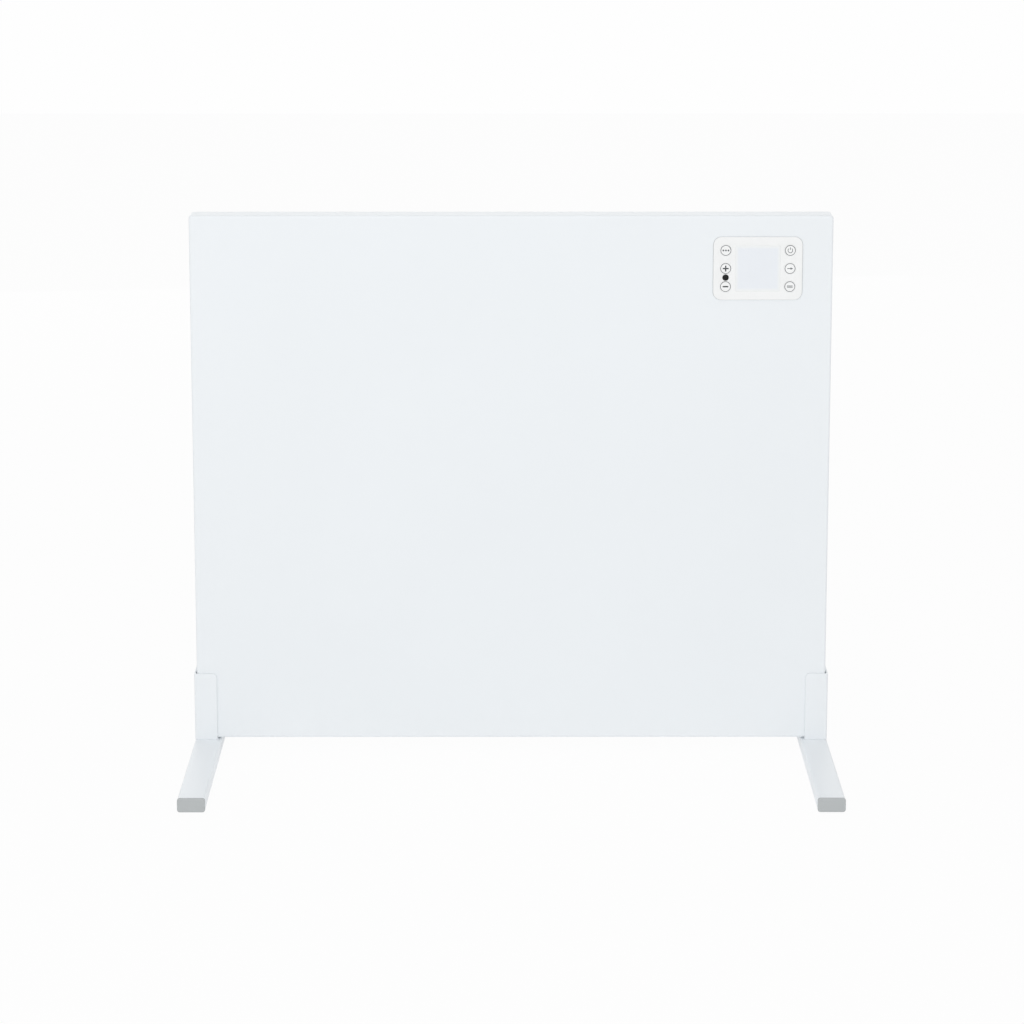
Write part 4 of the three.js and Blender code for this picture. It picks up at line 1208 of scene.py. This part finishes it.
@dataclass
class ControlPanel(Assembly):
    """The raised frame at the top right, with a grey ring that paints its shadow line, its window, keys and
    infrared eye.
    """

    corner: float = 7.5 * MM
    edge: float = 0.5 * MM
    rim_depth: float = 1.4 * MM
    plate: float = 2.5 * MM
    overlap: float = 4.0 * MM
    collar_wall: float = 1.5 * MM
    collar_corner: float = 3.0 * MM
    window_corner: float = 1.5 * MM
    window_edge: float = 0.05 * MM
    lens_gap: float = 0.02 * MM
    lens_flange: float = 1.0 * MM
    flange_gap: float = 0.3 * MM
    key_radius: float = 4.8 * MM
    key_gap: float = 0.2 * MM
    key_edge: float = 0.3 * MM
    key_flange: float = 1.0 * MM
    stem_radius: float = 1.6 * MM
    stem: float = 0.8 * MM
    ring: Point = (4.78 * MM, 4.4 * MM)
    bore_edge: float = 0.1 * MM
    eye_radius: float = 2.75 * MM
    eye_gap: float = 0.3 * MM
    eye_neck: float = 2.0 * MM
    eye_dome: float = 0.4 * MM
    eye_angles: Sequence[float] = range(0, 90, 10)
    support: float = 0.5 * MM
    ink_depth: float = 0.02 * MM
    panel_gap: float = 0.1 * MM
    # A grey ring that paints the frame's shadow line: how far it reaches aside and above, where its inner edge
    # lies, and its thickness.
    shadow_line_aside: float = 0.34 * MM
    shadow_line_above: float = 0.14 * MM
    shadow_line_clear: float = 0.1
    shadow_line_thick: float = 0.3 * MM

    def pane(self, inset: float, gap: float = 0.0) -> list[Point]:
        """Makes the window's outline, with the same corners where it is larger.

        Args:
            inset: how far in from the window's edge, or less than zero for outside it.
            gap: how far the edge itself is moved in.

        Returns:
            The outline.
        """
        less = 2 * (gap + inset)
        return rounded(WINDOW_WIDTH - less, WINDOW_HEIGHT - less,
                       self.window_corner - max(inset, 0.0), CORNER_STEPS)

    def bezel(self) -> None:
        """Makes the frame: a rounded rim, a collar behind it and the bores for all that shows."""
        box, edge, wall = Box("control_bezel"), self.window_edge, self.collar_wall
        front, back, plate_back = box.low.y, box.high.y, box.low.y + self.plate
        rim_back, seat = front + self.rim_depth, plate_back - self.lens_flange
        shell = box.shell()
        outside = shell.run(box.face(self.corner, FINE_STEPS), [
            (0.0, rim_back), *edge_round(self.edge, front, -1), (self.edge + self.support, front)])
        inside = shell.run(box.face(self.collar_corner, FINE_STEPS, self.overlap), [
            (0.0, rim_back), (0.0, back), (wall, back), (wall, plate_back)])
        shell.chain([outside[0], inside[0]])
        rebate = (Box("display_lens").size.x - WINDOW_WIDTH) / 2 + self.flange_gap
        openings = [shell.run(self.pane, [
            (-edge, front), (0.0, front + edge), (0.0, seat), (-rebate, seat),
            (-rebate, plate_back)])]
        holes = [(key.value, self.key_radius + self.key_gap) for key in Key]
        holes.append(("ir_receiver", self.eye_radius + self.eye_gap))
        mouth = [*reversed(edge_round(self.bore_edge, front, -1, MOUTH_STEPS)), (0.0, plate_back)]
        for node, radius in holes:
            x, _, z = Box(node).centre - box.centre
            openings.append(shell.run(lambda more: shifted(circle(radius + more), x, z), mouth))
        for skin, layer in ((outside, 0), (inside, -1)):
            shell.lid(skin[-1], [opening[layer] for opening in openings])
        self.settle(shell, "control_bezel", Slot.WHITE_PLASTIC)

    def shadow_line(self) -> None:
        """Makes a thin grey ring round the frame's rim: painted shade for the shadow line where the rim meets the
        panel.
        """
        box = Box("control_bezel")
        back, clear = box.low.y + self.rim_depth + self.panel_gap, self.shadow_line_clear
        front = back - self.shadow_line_thick

        def outline(share: float) -> list[Point]:
            """Makes the outline for a share of the ring's reach.

            Args:
                share: the share, one at the outer edge.

            Returns:
                The outline.
            """
            aside, above = share * self.shadow_line_aside, share * self.shadow_line_above
            return rounded(box.size.x + 2 * aside, box.size.z + 2 * above, self.corner + above,
                           FINE_STEPS)

        shell = box.shell()
        loops = shell.run(outline, [(clear, back), (clear, front), (1.0, front), (1.0, back)])
        shell.chain([loops[-1], loops[0]])
        # Painted shade: this grey ring stands in for the shadow line round the frame's rim.
        self.settle(shell, "bezel_shadow_line", Slot.END_CAP_GREY)

    def lens(self) -> None:
        """Makes the display window: a pane with softened edges on a wider flange."""
        box, gap, edge = Box("display_lens"), self.lens_gap, self.window_edge
        front, back, step = box.low.y, box.high.y, box.high.y - self.lens_flange + self.lens_gap
        reach = (box.size.x - WINDOW_WIDTH) / 2 + gap
        shell = box.shell()
        loops = shell.run(lambda inset: self.pane(inset, gap), [
            (-reach, back), (-reach, step), (0.0, step),
            *edge_round(edge, front, -1, MOUTH_STEPS), (edge + self.support, front)])
        shell.close(loops[0], loops[-1])
        self.settle(shell, "display_lens", Slot.DISPLAY_WINDOW)

    def key(self, key: Key) -> None:
        """Makes one round key with its flange and stem, its ring and its picture.

        Args:
            key: which key it is.
        """
        box, node, stem, face = Box(key.value), key.value, self.stem_radius, self.key_radius
        front, back, flange_back = box.low.y, box.high.y, box.high.y - self.stem
        flange, flange_front = box.size.x / 2, flange_back - self.key_flange
        shell = box.shell()
        shell.lathe([
            (stem, back), (stem, flange_back), (flange, flange_back), (flange, flange_front),
            (face, flange_front),
            *((face - inset, depth) for inset, depth in edge_round(self.key_edge, front, -1)),
            (face - self.key_edge - self.support, front)])
        self.settle(shell, node, Slot.KEY_PLASTIC, node)
        rings = [[circle(radius) for radius in self.ring]]
        picture = [[[(x * MM, z * MM) for x, z in shape]] for shape in key.picture()]
        strong = Ink.DARK if key in (Key.PLUS, Key.MINUS) else Ink.MID
        for name, shapes, ink in (("ring", rings, Ink.MID), ("mark", picture, strong)):
            shell = box.shell()
            shell.plates(shapes, front - self.ink_depth, front + self.ink_depth)
            self.settle(shell, f"{node}_{name}", Slot.KEY_PLASTIC, node, ink=ink)

    def eye(self) -> None:
        """Makes the domed infrared eye."""
        box, neck, radius, dome = Box("ir_receiver"), self.eye_neck, self.eye_radius, self.eye_dome
        face = box.low.y + dome
        shoulder = face + self.plate - self.lens_flange
        shell = box.shell()
        shell.lathe([(neck, box.high.y), (neck, shoulder), (radius, shoulder),
                     *((radius * c, face - dome * s) for c, s in turned(self.eye_angles))])
        self.settle(shell, "ir_receiver", Slot.RECEIVER_BLACK)

    def build(self) -> None:
        """Makes the whole control unit."""
        self.bezel()
        # The grey ring round the frame is painted shade for its shadow line.
        self.shadow_line()
        self.lens()
        for key in Key:
            self.key(key)
        self.eye()


# The feet: a tube with two end caps, the bracket on it and their screws


class Side(Enum):
    """The two feet, by the sign of X."""

    LEFT = -1
    RIGHT = 1


@dataclass
class Foot(Assembly):
    """One foot, with the bracket that holds the panel's lower corner."""

    side: Side
    screw: PanScrew
    foot_screw: PanScrew
    tube_wall: float = 1.0 * MM
    tube_corner: float = 2.0 * MM
    tube_edge: float = 0.15 * MM
    cap_head: float = 3.0 * MM
    cap_corner: float = 2.4 * MM
    cap_edge: float = 0.7 * MM
    plug_gap: float = 1.3 * MM
    plug_wall: float = 1.6 * MM
    plug_corner: float = 1.0 * MM
    plug_tip: float = 0.4 * MM
    plug_floor: float = 0.2 * MM
    rib_count: int = 3
    rib_start: float = 2.5 * MM
    rib_pitch: float = 3.6 * MM
    rib_half: float = 0.7 * MM
    rib_height: float = 0.35 * MM
    rib_grip: float = 0.15 * MM
    sheet: float = 1.5 * MM
    fold: float = 2.2 * MM
    least_fold: float = 0.3 * MM
    base_fold: float = 0.15 * MM
    seam: float = 0.01 * MM
    floor_fillet: Point = (0.5 * MM, 0.6 * MM)
    bracket_corner: float = 4.0 * MM
    corner_angles: tuple[float, ...] = (15.0, 30.0, 45.0, 60.0, 70.0)
    sheared_edge: float = 0.2 * MM
    screw_room: float = 0.3 * MM
    foot_hole: float = 2.3 * MM
    foot_door: float = 3.9 * MM

    def own(self, part: str) -> str:
        """Returns the name of this foot's own node of a part."""
        return f"{part}_{self.side.name.lower()}"

    def tube(self) -> None:
        """Makes the rectangular steel tube, bored for its screw."""
        box, edge, wall = Box(self.own("foot_tube")), self.tube_edge, self.tube_wall
        low, high, reach = box.low, box.high, 2 * wall
        shell = box.shell()
        loops = shell.run(box.face(self.tube_corner, ROUGH_STEPS), [
            (edge, low.y), (0.0, low.y + edge), (0.0, high.y - edge), (edge, high.y),
            (wall, high.y), (wall, low.y)])
        shell.chain([loops[-1], loops[0]])
        bores = [Bore(along_z(*box.centre.xy), radius, level - reach, level + reach)
                 for radius, level in ((self.foot_door, low.z), (self.foot_hole, high.z))]
        self.settle(shell, self.own("foot_tube"), Slot.WHITE_STEEL, bores=bores)

    def cap(self, end: str, out: int) -> None:
        """Makes an end cap: a head that covers the tube's end and a hollow plug inside it.

        Args:
            end: the part's name.
            out: minus one for the front cap, one for the rear cap.
        """
        box, tube = Box(self.own(end)), Box(self.own("foot_tube"))
        face, tip = (box.low.y, box.high.y) if out < 0 else (box.high.y, box.low.y)
        step = face - out * self.cap_head
        ribs = []
        for index in range(self.rib_count):
            for height, along in ((self.rib_height, 0), (-self.rib_grip, 1), (self.rib_height, 2)):
                start = self.rib_start + index * self.rib_pitch + along * self.rib_half
                ribs.append((height, step - out * start))
        shell = box.shell()
        head = shell.run(box.face(self.cap_corner), [
            (0.0, step), *edge_round(self.cap_edge, face, out),
            (self.cap_edge + self.tube_wall, face)])
        plug = shell.run(tube.face(self.plug_corner, margin=self.plug_gap), [
            (0.0, step), *ribs, (self.plug_tip, tip), (self.plug_wall, tip),
            (self.plug_wall, step - out * self.plug_floor)])
        shell.chain([head[0], plug[0]])
        shell.close(head[-1], plug[-1])
        self.settle(shell, self.own(end), Slot.END_CAP_GREY)

    def walls(self, shell: Shell, box: Box, stations: Iterable[Triple]) -> Sequence[Loop]:
        """Makes a skin of the bracket's three walls, open towards the panel.

        Args:
            shell: the bracket's shell, with X counted from its outer face towards the panel.
            box: the bracket's box.
            stations: for each loop its inset from the outer face, its legs' end and its level.

        Returns:
            The loops, each from the tip of the front leg round to the tip of the rear one.
        """
        loops = []
        for inset, tip, level in stations:
            fold = max(self.fold - inset, self.least_fold)
            front, rear = box.low.y + inset, box.high.y - inset
            loops.append(shell.loop([
                (tip, front), *arc((inset + fold, front + fold), fold, 270, 180, ROUGH_STEPS),
                *arc((inset + fold, rear - fold), fold, 180, 90, ROUGH_STEPS), (tip, rear)],
                level))
        return shell.chain(loops, closed=False)

    def bracket(self) -> None:
        """Makes the folded bracket: a floor on the tube and three walls round the panel."""
        box, tube = Box(self.own("foot_bracket")), Box(self.own("foot_tube"))
        outer_face = box.high.x if self.side is Side.RIGHT else box.low.x
        shell = Shell(lambda x, y, z: Vector((outer_face - self.side.value * x, y, z)))
        sheet, shear, corner = self.sheet, self.sheared_edge, self.bracket_corner
        floor, top, flange, tip = box.low.z + sheet, box.high.z, box.size.x, box.size.x - corner
        fillet, rise = self.floor_fillet
        base = edge_round(self.base_fold, tube.high.z + self.seam, -1, EDGE_STEPS)
        foot = [(inset, flange, level) for inset, level in reversed(base)]
        legs = [(flange, floor), (flange, floor + rise), (flange, top - corner),
                *((tip + corner * c, top - corner * (1 - s))
                  for c, s in turned(self.corner_angles)),
                (tip, top - shear)]
        outside = self.walls(shell, box, [
            *foot, *((0.0, *leg) for leg in legs), (shear, tip, top)])
        inside = self.walls(shell, box, [
            (sheet + fillet, *legs[0]), *((sheet, *leg) for leg in legs[1:]),
            (sheet - shear, tip, top)])
        shell.chain([outside[-1], inside[-1]], closed=False)
        skins = list(zip(outside[len(foot):], inside))
        for (outer, inner), (outer_up, inner_up) in zip(skins, skins[1:]):
            for end in (0, -1):
                shell.face(outer[end], inner[end], inner_up[end], outer_up[end])
        lowest, start = inside[0], outside[:len(foot) + 1]
        shell.close(outside[0], lowest, [*(loop[0] for loop in start), lowest[0], lowest[-1],
                                         *(loop[-1] for loop in reversed(start))])
        spot = Box(self.own("bracket_screw")).centre
        room = self.screw.shank_radius + self.screw_room
        self.settle(shell, self.own("foot_bracket"), Slot.WHITE_STEEL, bores=[
            Bore(along_z(tube.centre.x), self.foot_hole, box.low.z - sheet, floor + sheet),
            Bore(along_y(spot.x, spot.z), room, box.high.y - 2 * sheet, box.high.y + sheet)])

    def build(self) -> None:
        """Makes the whole foot."""
        self.tube()
        self.cap("end_cap_front", -1)
        self.cap("end_cap_rear", 1)
        self.bracket()
        self.foot_screw.drive(self.own("foot_screw"), upwards=True)
        self.screw.drive(self.own("bracket_screw"))


# The mains inlet: rocker switch and cord gland


@dataclass
class MainsInlet(Assembly):
    """Rocker switch and elbow gland at the back."""

    flange: float = 1.2 * MM
    flange_corner: float = 1.5 * MM
    flange_edge: float = 0.35 * MM
    body_inset: float = 1.4 * MM
    pocket_corner: float = 0.4 * MM
    paddle_half: float = 4.5 * MM
    paddle_reach: float = 7.0 * MM
    paddle_gap: float = 0.3 * MM
    paddle_dip: float = 3.0 * MM
    paddle_dish: float = 1.6
    paddle_top: float = 32.0
    paddle_edge: float = 0.35 * MM
    face_shares: tuple[float, ...] = (0.0, 0.25, 0.5, 0.75, 0.93)
    end_angles: tuple[float, ...] = (28.0, 22.0, 14.0, 6.0, -4.0, -12.0, -20.0)
    rest_turn: float = 10.0
    stub_radius: float = 1.2 * MM
    stub: float = 1.0 * MM
    running: float = 0.15 * MM
    mark_level: float = 3.6 * MM
    mark_line: Point = (0.6 * MM, 2.4 * MM)
    mark_ring: Point = (1.3 * MM, 0.8 * MM)
    ink_depth: float = 0.03 * MM
    gland_corner: float = 4.0 * MM
    gland_edge: float = 1.8 * MM
    gland_bore: float = 3.3 * MM
    gland_spigot: float = 5.0 * MM

    def pivot(self) -> Vector:
        """Returns the paddle's axis point."""
        return Vector(next(j["pos_m"] for j in frame["joints"] if j["name"] == "rocker_turn"))

    def body(self) -> None:
        """Makes the switch body: a flange, a case behind it and the paddle's pocket."""
        box, pivot, edge = Box("rocker_body"), self.pivot(), self.flange_edge
        front, back, case, seat = box.low.y, box.high.y, self.body_inset, box.high.y - self.flange
        (_, lowest), = turned([self.end_angles[-1] - self.rest_turn])
        shell = box.shell()
        loops = shell.run(lambda inset: rounded(box.size.x - 2 * inset, box.size.z - 2 * inset,
                                                self.flange_corner, CORNER_STEPS), [
            (case, front), (case, seat), (0.0, seat),
            *edge_round(edge, back, 1, EDGE_STEPS), (edge + self.running, back)])
        room = [2 * (half + self.paddle_gap) for half in (self.paddle_half, self.paddle_reach)]
        pocket = shell.chain([
            shell.loop(rounded(*room, self.pocket_corner, EDGE_STEPS), depth)
            for depth in (back, pivot.y + self.paddle_reach * lowest - self.paddle_gap)])
        shell.lid(loops[-1], [pocket[0]])
        shell.close(loops[0], pocket[-1])
        reach = self.paddle_half + self.stub + self.running
        self.settle(shell, "rocker_body", Slot.BLACK_PLASTIC, bores=[
            Bore(along_x(pivot.y, pivot.z), self.stub_radius + self.running,
                 pivot.x - reach, pivot.x + reach)])

    def crest(self, level: float) -> float:
        """Finds how far the paddle's dished face is from the pivot.

        Args:
            level: how far along the paddle.

        Returns:
            The distance.
        """
        (along, out), = turned([self.paddle_top])
        rise = self.paddle_reach * out - self.paddle_dip
        share = abs(level) / (self.paddle_reach * along)
        return self.paddle_dip + rise * share ** self.paddle_dish

    def paddle_place(self) -> Place:
        """Returns the place of points in Y, Z and X about the pivot, turned as the paddle rests."""
        pivot, turn = self.pivot(), Matrix.Rotation(math.radians(self.rest_turn), 3, "X")
        return lambda back, up, reach: pivot + turn @ Vector((reach, back, up))

    def paddle(self) -> None:
        """Makes the paddle: a dished face, round ends and a stub on each side."""
        end = self.paddle_reach * math.cos(math.radians(self.paddle_top))
        half = [*((self.crest(end * share), end * share) for share in self.face_shares),
                *((self.paddle_reach * s, self.paddle_reach * c)
                  for c, s in turned(self.end_angles))]
        outline = [*((y, -z) for y, z in half[1:]), *reversed(half)]
        right = edge_round(self.paddle_edge, self.paddle_half, 1, EDGE_STEPS)
        shell = Shell(self.paddle_place())
        loops = shell.run(lambda inset: grown(outline, -inset),
                          [*((inset, -reach) for inset, reach in reversed(right)), *right])
        for loop, out in ((loops[0], -1), (loops[-1], 1)):
            stub = shell.run(lambda radius: circle(radius, SMALL_SIDES), [
                (self.stub_radius, out * self.paddle_half),
                (self.stub_radius, out * (self.paddle_half + self.stub))])
            shell.lid(loop, [stub[0]])
            shell.close(stub[-1])
        self.settle(shell, "rocker_paddle", Slot.ROCKER_BLACK, "rocker_paddle")

    def paddle_marks(self) -> None:
        """Prints the line for on and the ring for off on the paddle's face."""
        place = self.paddle_place()
        shell = Shell(lambda across, up, depth: place(self.crest(up) + depth, up, across))
        line = shifted(bar(*self.mark_line), 0.0, self.mark_level)
        ring = [shifted(circle(radius, SCREW_SIDES), 0.0, -self.mark_level)
                for radius in self.mark_ring]
        shell.plates([[line], ring], -self.ink_depth, self.ink_depth)
        self.settle(shell, "rocker_paddle_marks", Slot.ROCKER_BLACK, "rocker_paddle", ink=Ink.WHITE)

    def gland(self) -> None:
        """Makes the elbow gland: a round-edged hood on a spigot, with its outlet below."""
        box, edge, bore = Box("cord_gland"), self.gland_edge, self.gland_bore
        front, back, base = box.low.y, box.high.y, box.low.y + self.gland_spigot
        middle = (base + back) / 2
        shell = box.shell()
        hood = shell.run(box.face(self.gland_corner), [
            (0.0, base), *edge_round(edge, back, 1, ROUGH_STEPS), (edge + self.running, back)])
        spigot = shell.run(lambda radius: circle(radius, len(hood[0])), [
            (self.gland_spigot, base), (self.gland_spigot, front), (bore, front),
            (bore, middle + bore)])
        shell.lid(hood[0], [spigot[0]])
        shell.close(hood[-1], spigot[-1])
        self.settle(shell, "cord_gland", Slot.BLACK_PLASTIC, bores=[
            Bore(along_z(box.centre.x, middle), bore, box.low.z - edge, box.centre.z)])

    def build(self) -> None:
        """Makes the whole mains inlet."""
        self.body()
        self.paddle()
        self.paddle_marks()
        self.gland()


def dress_inner_parts(palette: Palette) -> None:
    """Gives every node of the frame the material of its slot, and keeps its shape.

    Args:
        palette: the materials.
    """
    for part in frame["record"]["subparts"]:
        node = frame["nodes"][part["node"]]
        for held in node.material_slots:
            held.material = palette.slots[Slot(part["material_slot"])]
        log.info("%s: kept, finished as %s", node.name, part["material_slot"])


# Floor, light and camera


@dataclass
class Studio:
    """White floor and backdrop with soft light from lamps and from all round."""

    floor_half: float = 6.0
    floor_glow: float = 0.33
    floor_veil: float = 0.96
    floor_paint: Finish = Finish(Colour(248, 248, 248), 0.6, specular=0.2,
                                 tones=Spread(clouds(600 * MM), 0.992, 1.008))
    ambient: float = 0.65
    white: Colour = Colour(254, 254, 254)
    lamps: tuple[tuple[str, Triple, float, float], ...] = (
        ("front_lamp", (0.0, -3.0, 1.6), 2.0, 21.0),
        ("left_lamp", (-1.3, -1.9, 0.9), 1.6, 3.0),
        ("top_lamp", (-0.1, -0.5, 2.4), 1.6, 4.4),
        ("rear_lamp", (-0.35, 2.8, 0.9), 2.2, 6.5),
    )
    target: Triple = (0.0, 0.0, 0.27)

    def floor(self) -> None:
        """Makes the floor, which looks white to the camera and keeps the object's shadow."""
        recipe, half = self.floor_paint.recipe("white_floor"), self.floor_half
        veil = recipe.spread(recipe.seen_by_eye(), self.floor_glow, self.floor_veil)
        white = recipe.add("ShaderNodeEmission", Color=self.white.linear(), Strength=1.0)
        output = next(n for n in recipe.tree.nodes if n.type == "OUTPUT_MATERIAL")
        recipe.show(veil, recipe.surface, white, output)
        shell = Shell(along_z())
        shell.close(shell.loop([(-half, -half), (half, -half), (half, half), (-half, half)], 0.0))
        shell.end("floor", recipe.material, CREASE)

    def surroundings(self) -> None:
        """Makes the white world, which lights the object less than it shows."""
        world = bpy.data.worlds.new("white_room")
        bpy.context.scene.world = world
        world.use_nodes = True
        world.node_tree.nodes.clear()
        sky = Wiring(world.node_tree)
        lit = sky.add("ShaderNodeBackground", Color=(1.0, 1.0, 1.0, 1.0), Strength=self.ambient)
        shown = sky.add("ShaderNodeBackground", Color=self.white.linear(), Strength=1.0)
        sky.show(sky.seen_by_eye(), lit, shown, sky.add("ShaderNodeOutputWorld"))

    def lamp(self, name: str, spot: Triple, size: float, power: float) -> None:
        """Makes one soft square lamp that faces the object.

        Args:
            name: the lamp's name.
            spot: where it hangs.
            size: the length of its side.
            power: its power in watts.
        """
        light = bpy.data.lights.new(name, "AREA")
        light.shape, light.size, light.energy = "SQUARE", size, power
        lamp = linked(name, light)
        lamp.location = spot
        aim = Vector(self.target) - Vector(spot)
        lamp.rotation_euler = aim.to_track_quat("-Z", "Y").to_euler()

    def build(self) -> None:
        """Makes the floor, the surroundings and the lamps."""
        self.floor()
        self.surroundings()
        for lamp in self.lamps:
            self.lamp(*lamp)
        bpy.context.scene.view_settings.view_transform = "Standard"


@dataclass(frozen=True)
class PhotoCamera:
    """The camera as the photograph was taken: in front, above and tilted down."""

    place: Triple = (-4.7 * MM, -3395.0 * MM, 955.4 * MM)
    pitch: float = 12.029
    yaw: float = 0.094
    sensor: float = 36.0
    focal_pixels: float = 3655.0
    image_pixels: float = 1024.0

    def build(self) -> None:
        """Makes the camera and sets it as the scene's own."""
        (level, drop), (ahead, aside) = turned((self.pitch, self.yaw))
        view, right = Vector((aside * level, ahead * level, -drop)), Vector((ahead, -aside, 0.0))
        lens = bpy.data.cameras.new("photo_camera")
        lens.sensor_width = self.sensor
        lens.lens = self.sensor * self.focal_pixels / self.image_pixels
        camera = linked("photo_camera", lens)
        turn = Matrix((right, right.cross(view), -view)).transposed().to_4x4()
        camera.matrix_world = Matrix.Translation(self.place) @ turn
        bpy.context.scene.camera = camera


def main() -> None:
    """Builds the heater's looks and its studio."""
    logging.basicConfig(level=logging.INFO, format="%(name)s: %(message)s")
    PhotoCamera().build()
    Studio().build()
    palette = Palette(DisplayWindow(Colour(236, 240, 245), 0.14, rim=Colour(243, 245, 245),
                                    centre=Box("display_lens").centre))
    dress_inner_parts(palette)
    screw = PanScrew(palette, head_radius=2.8 * MM, head_height=1.8 * MM, shank_radius=1.5 * MM)
    foot_screw = PanScrew(palette, head_radius=3.6 * MM, head_height=2.4 * MM,
                          shank_radius=2.0 * MM)
    Casing(palette, screw).build()
    ControlPanel(palette).build()
    for side in Side:
        Foot(palette, side, screw, foot_screw).build()
    MainsInlet(palette).build()


if __name__ == "__main__":
    main()
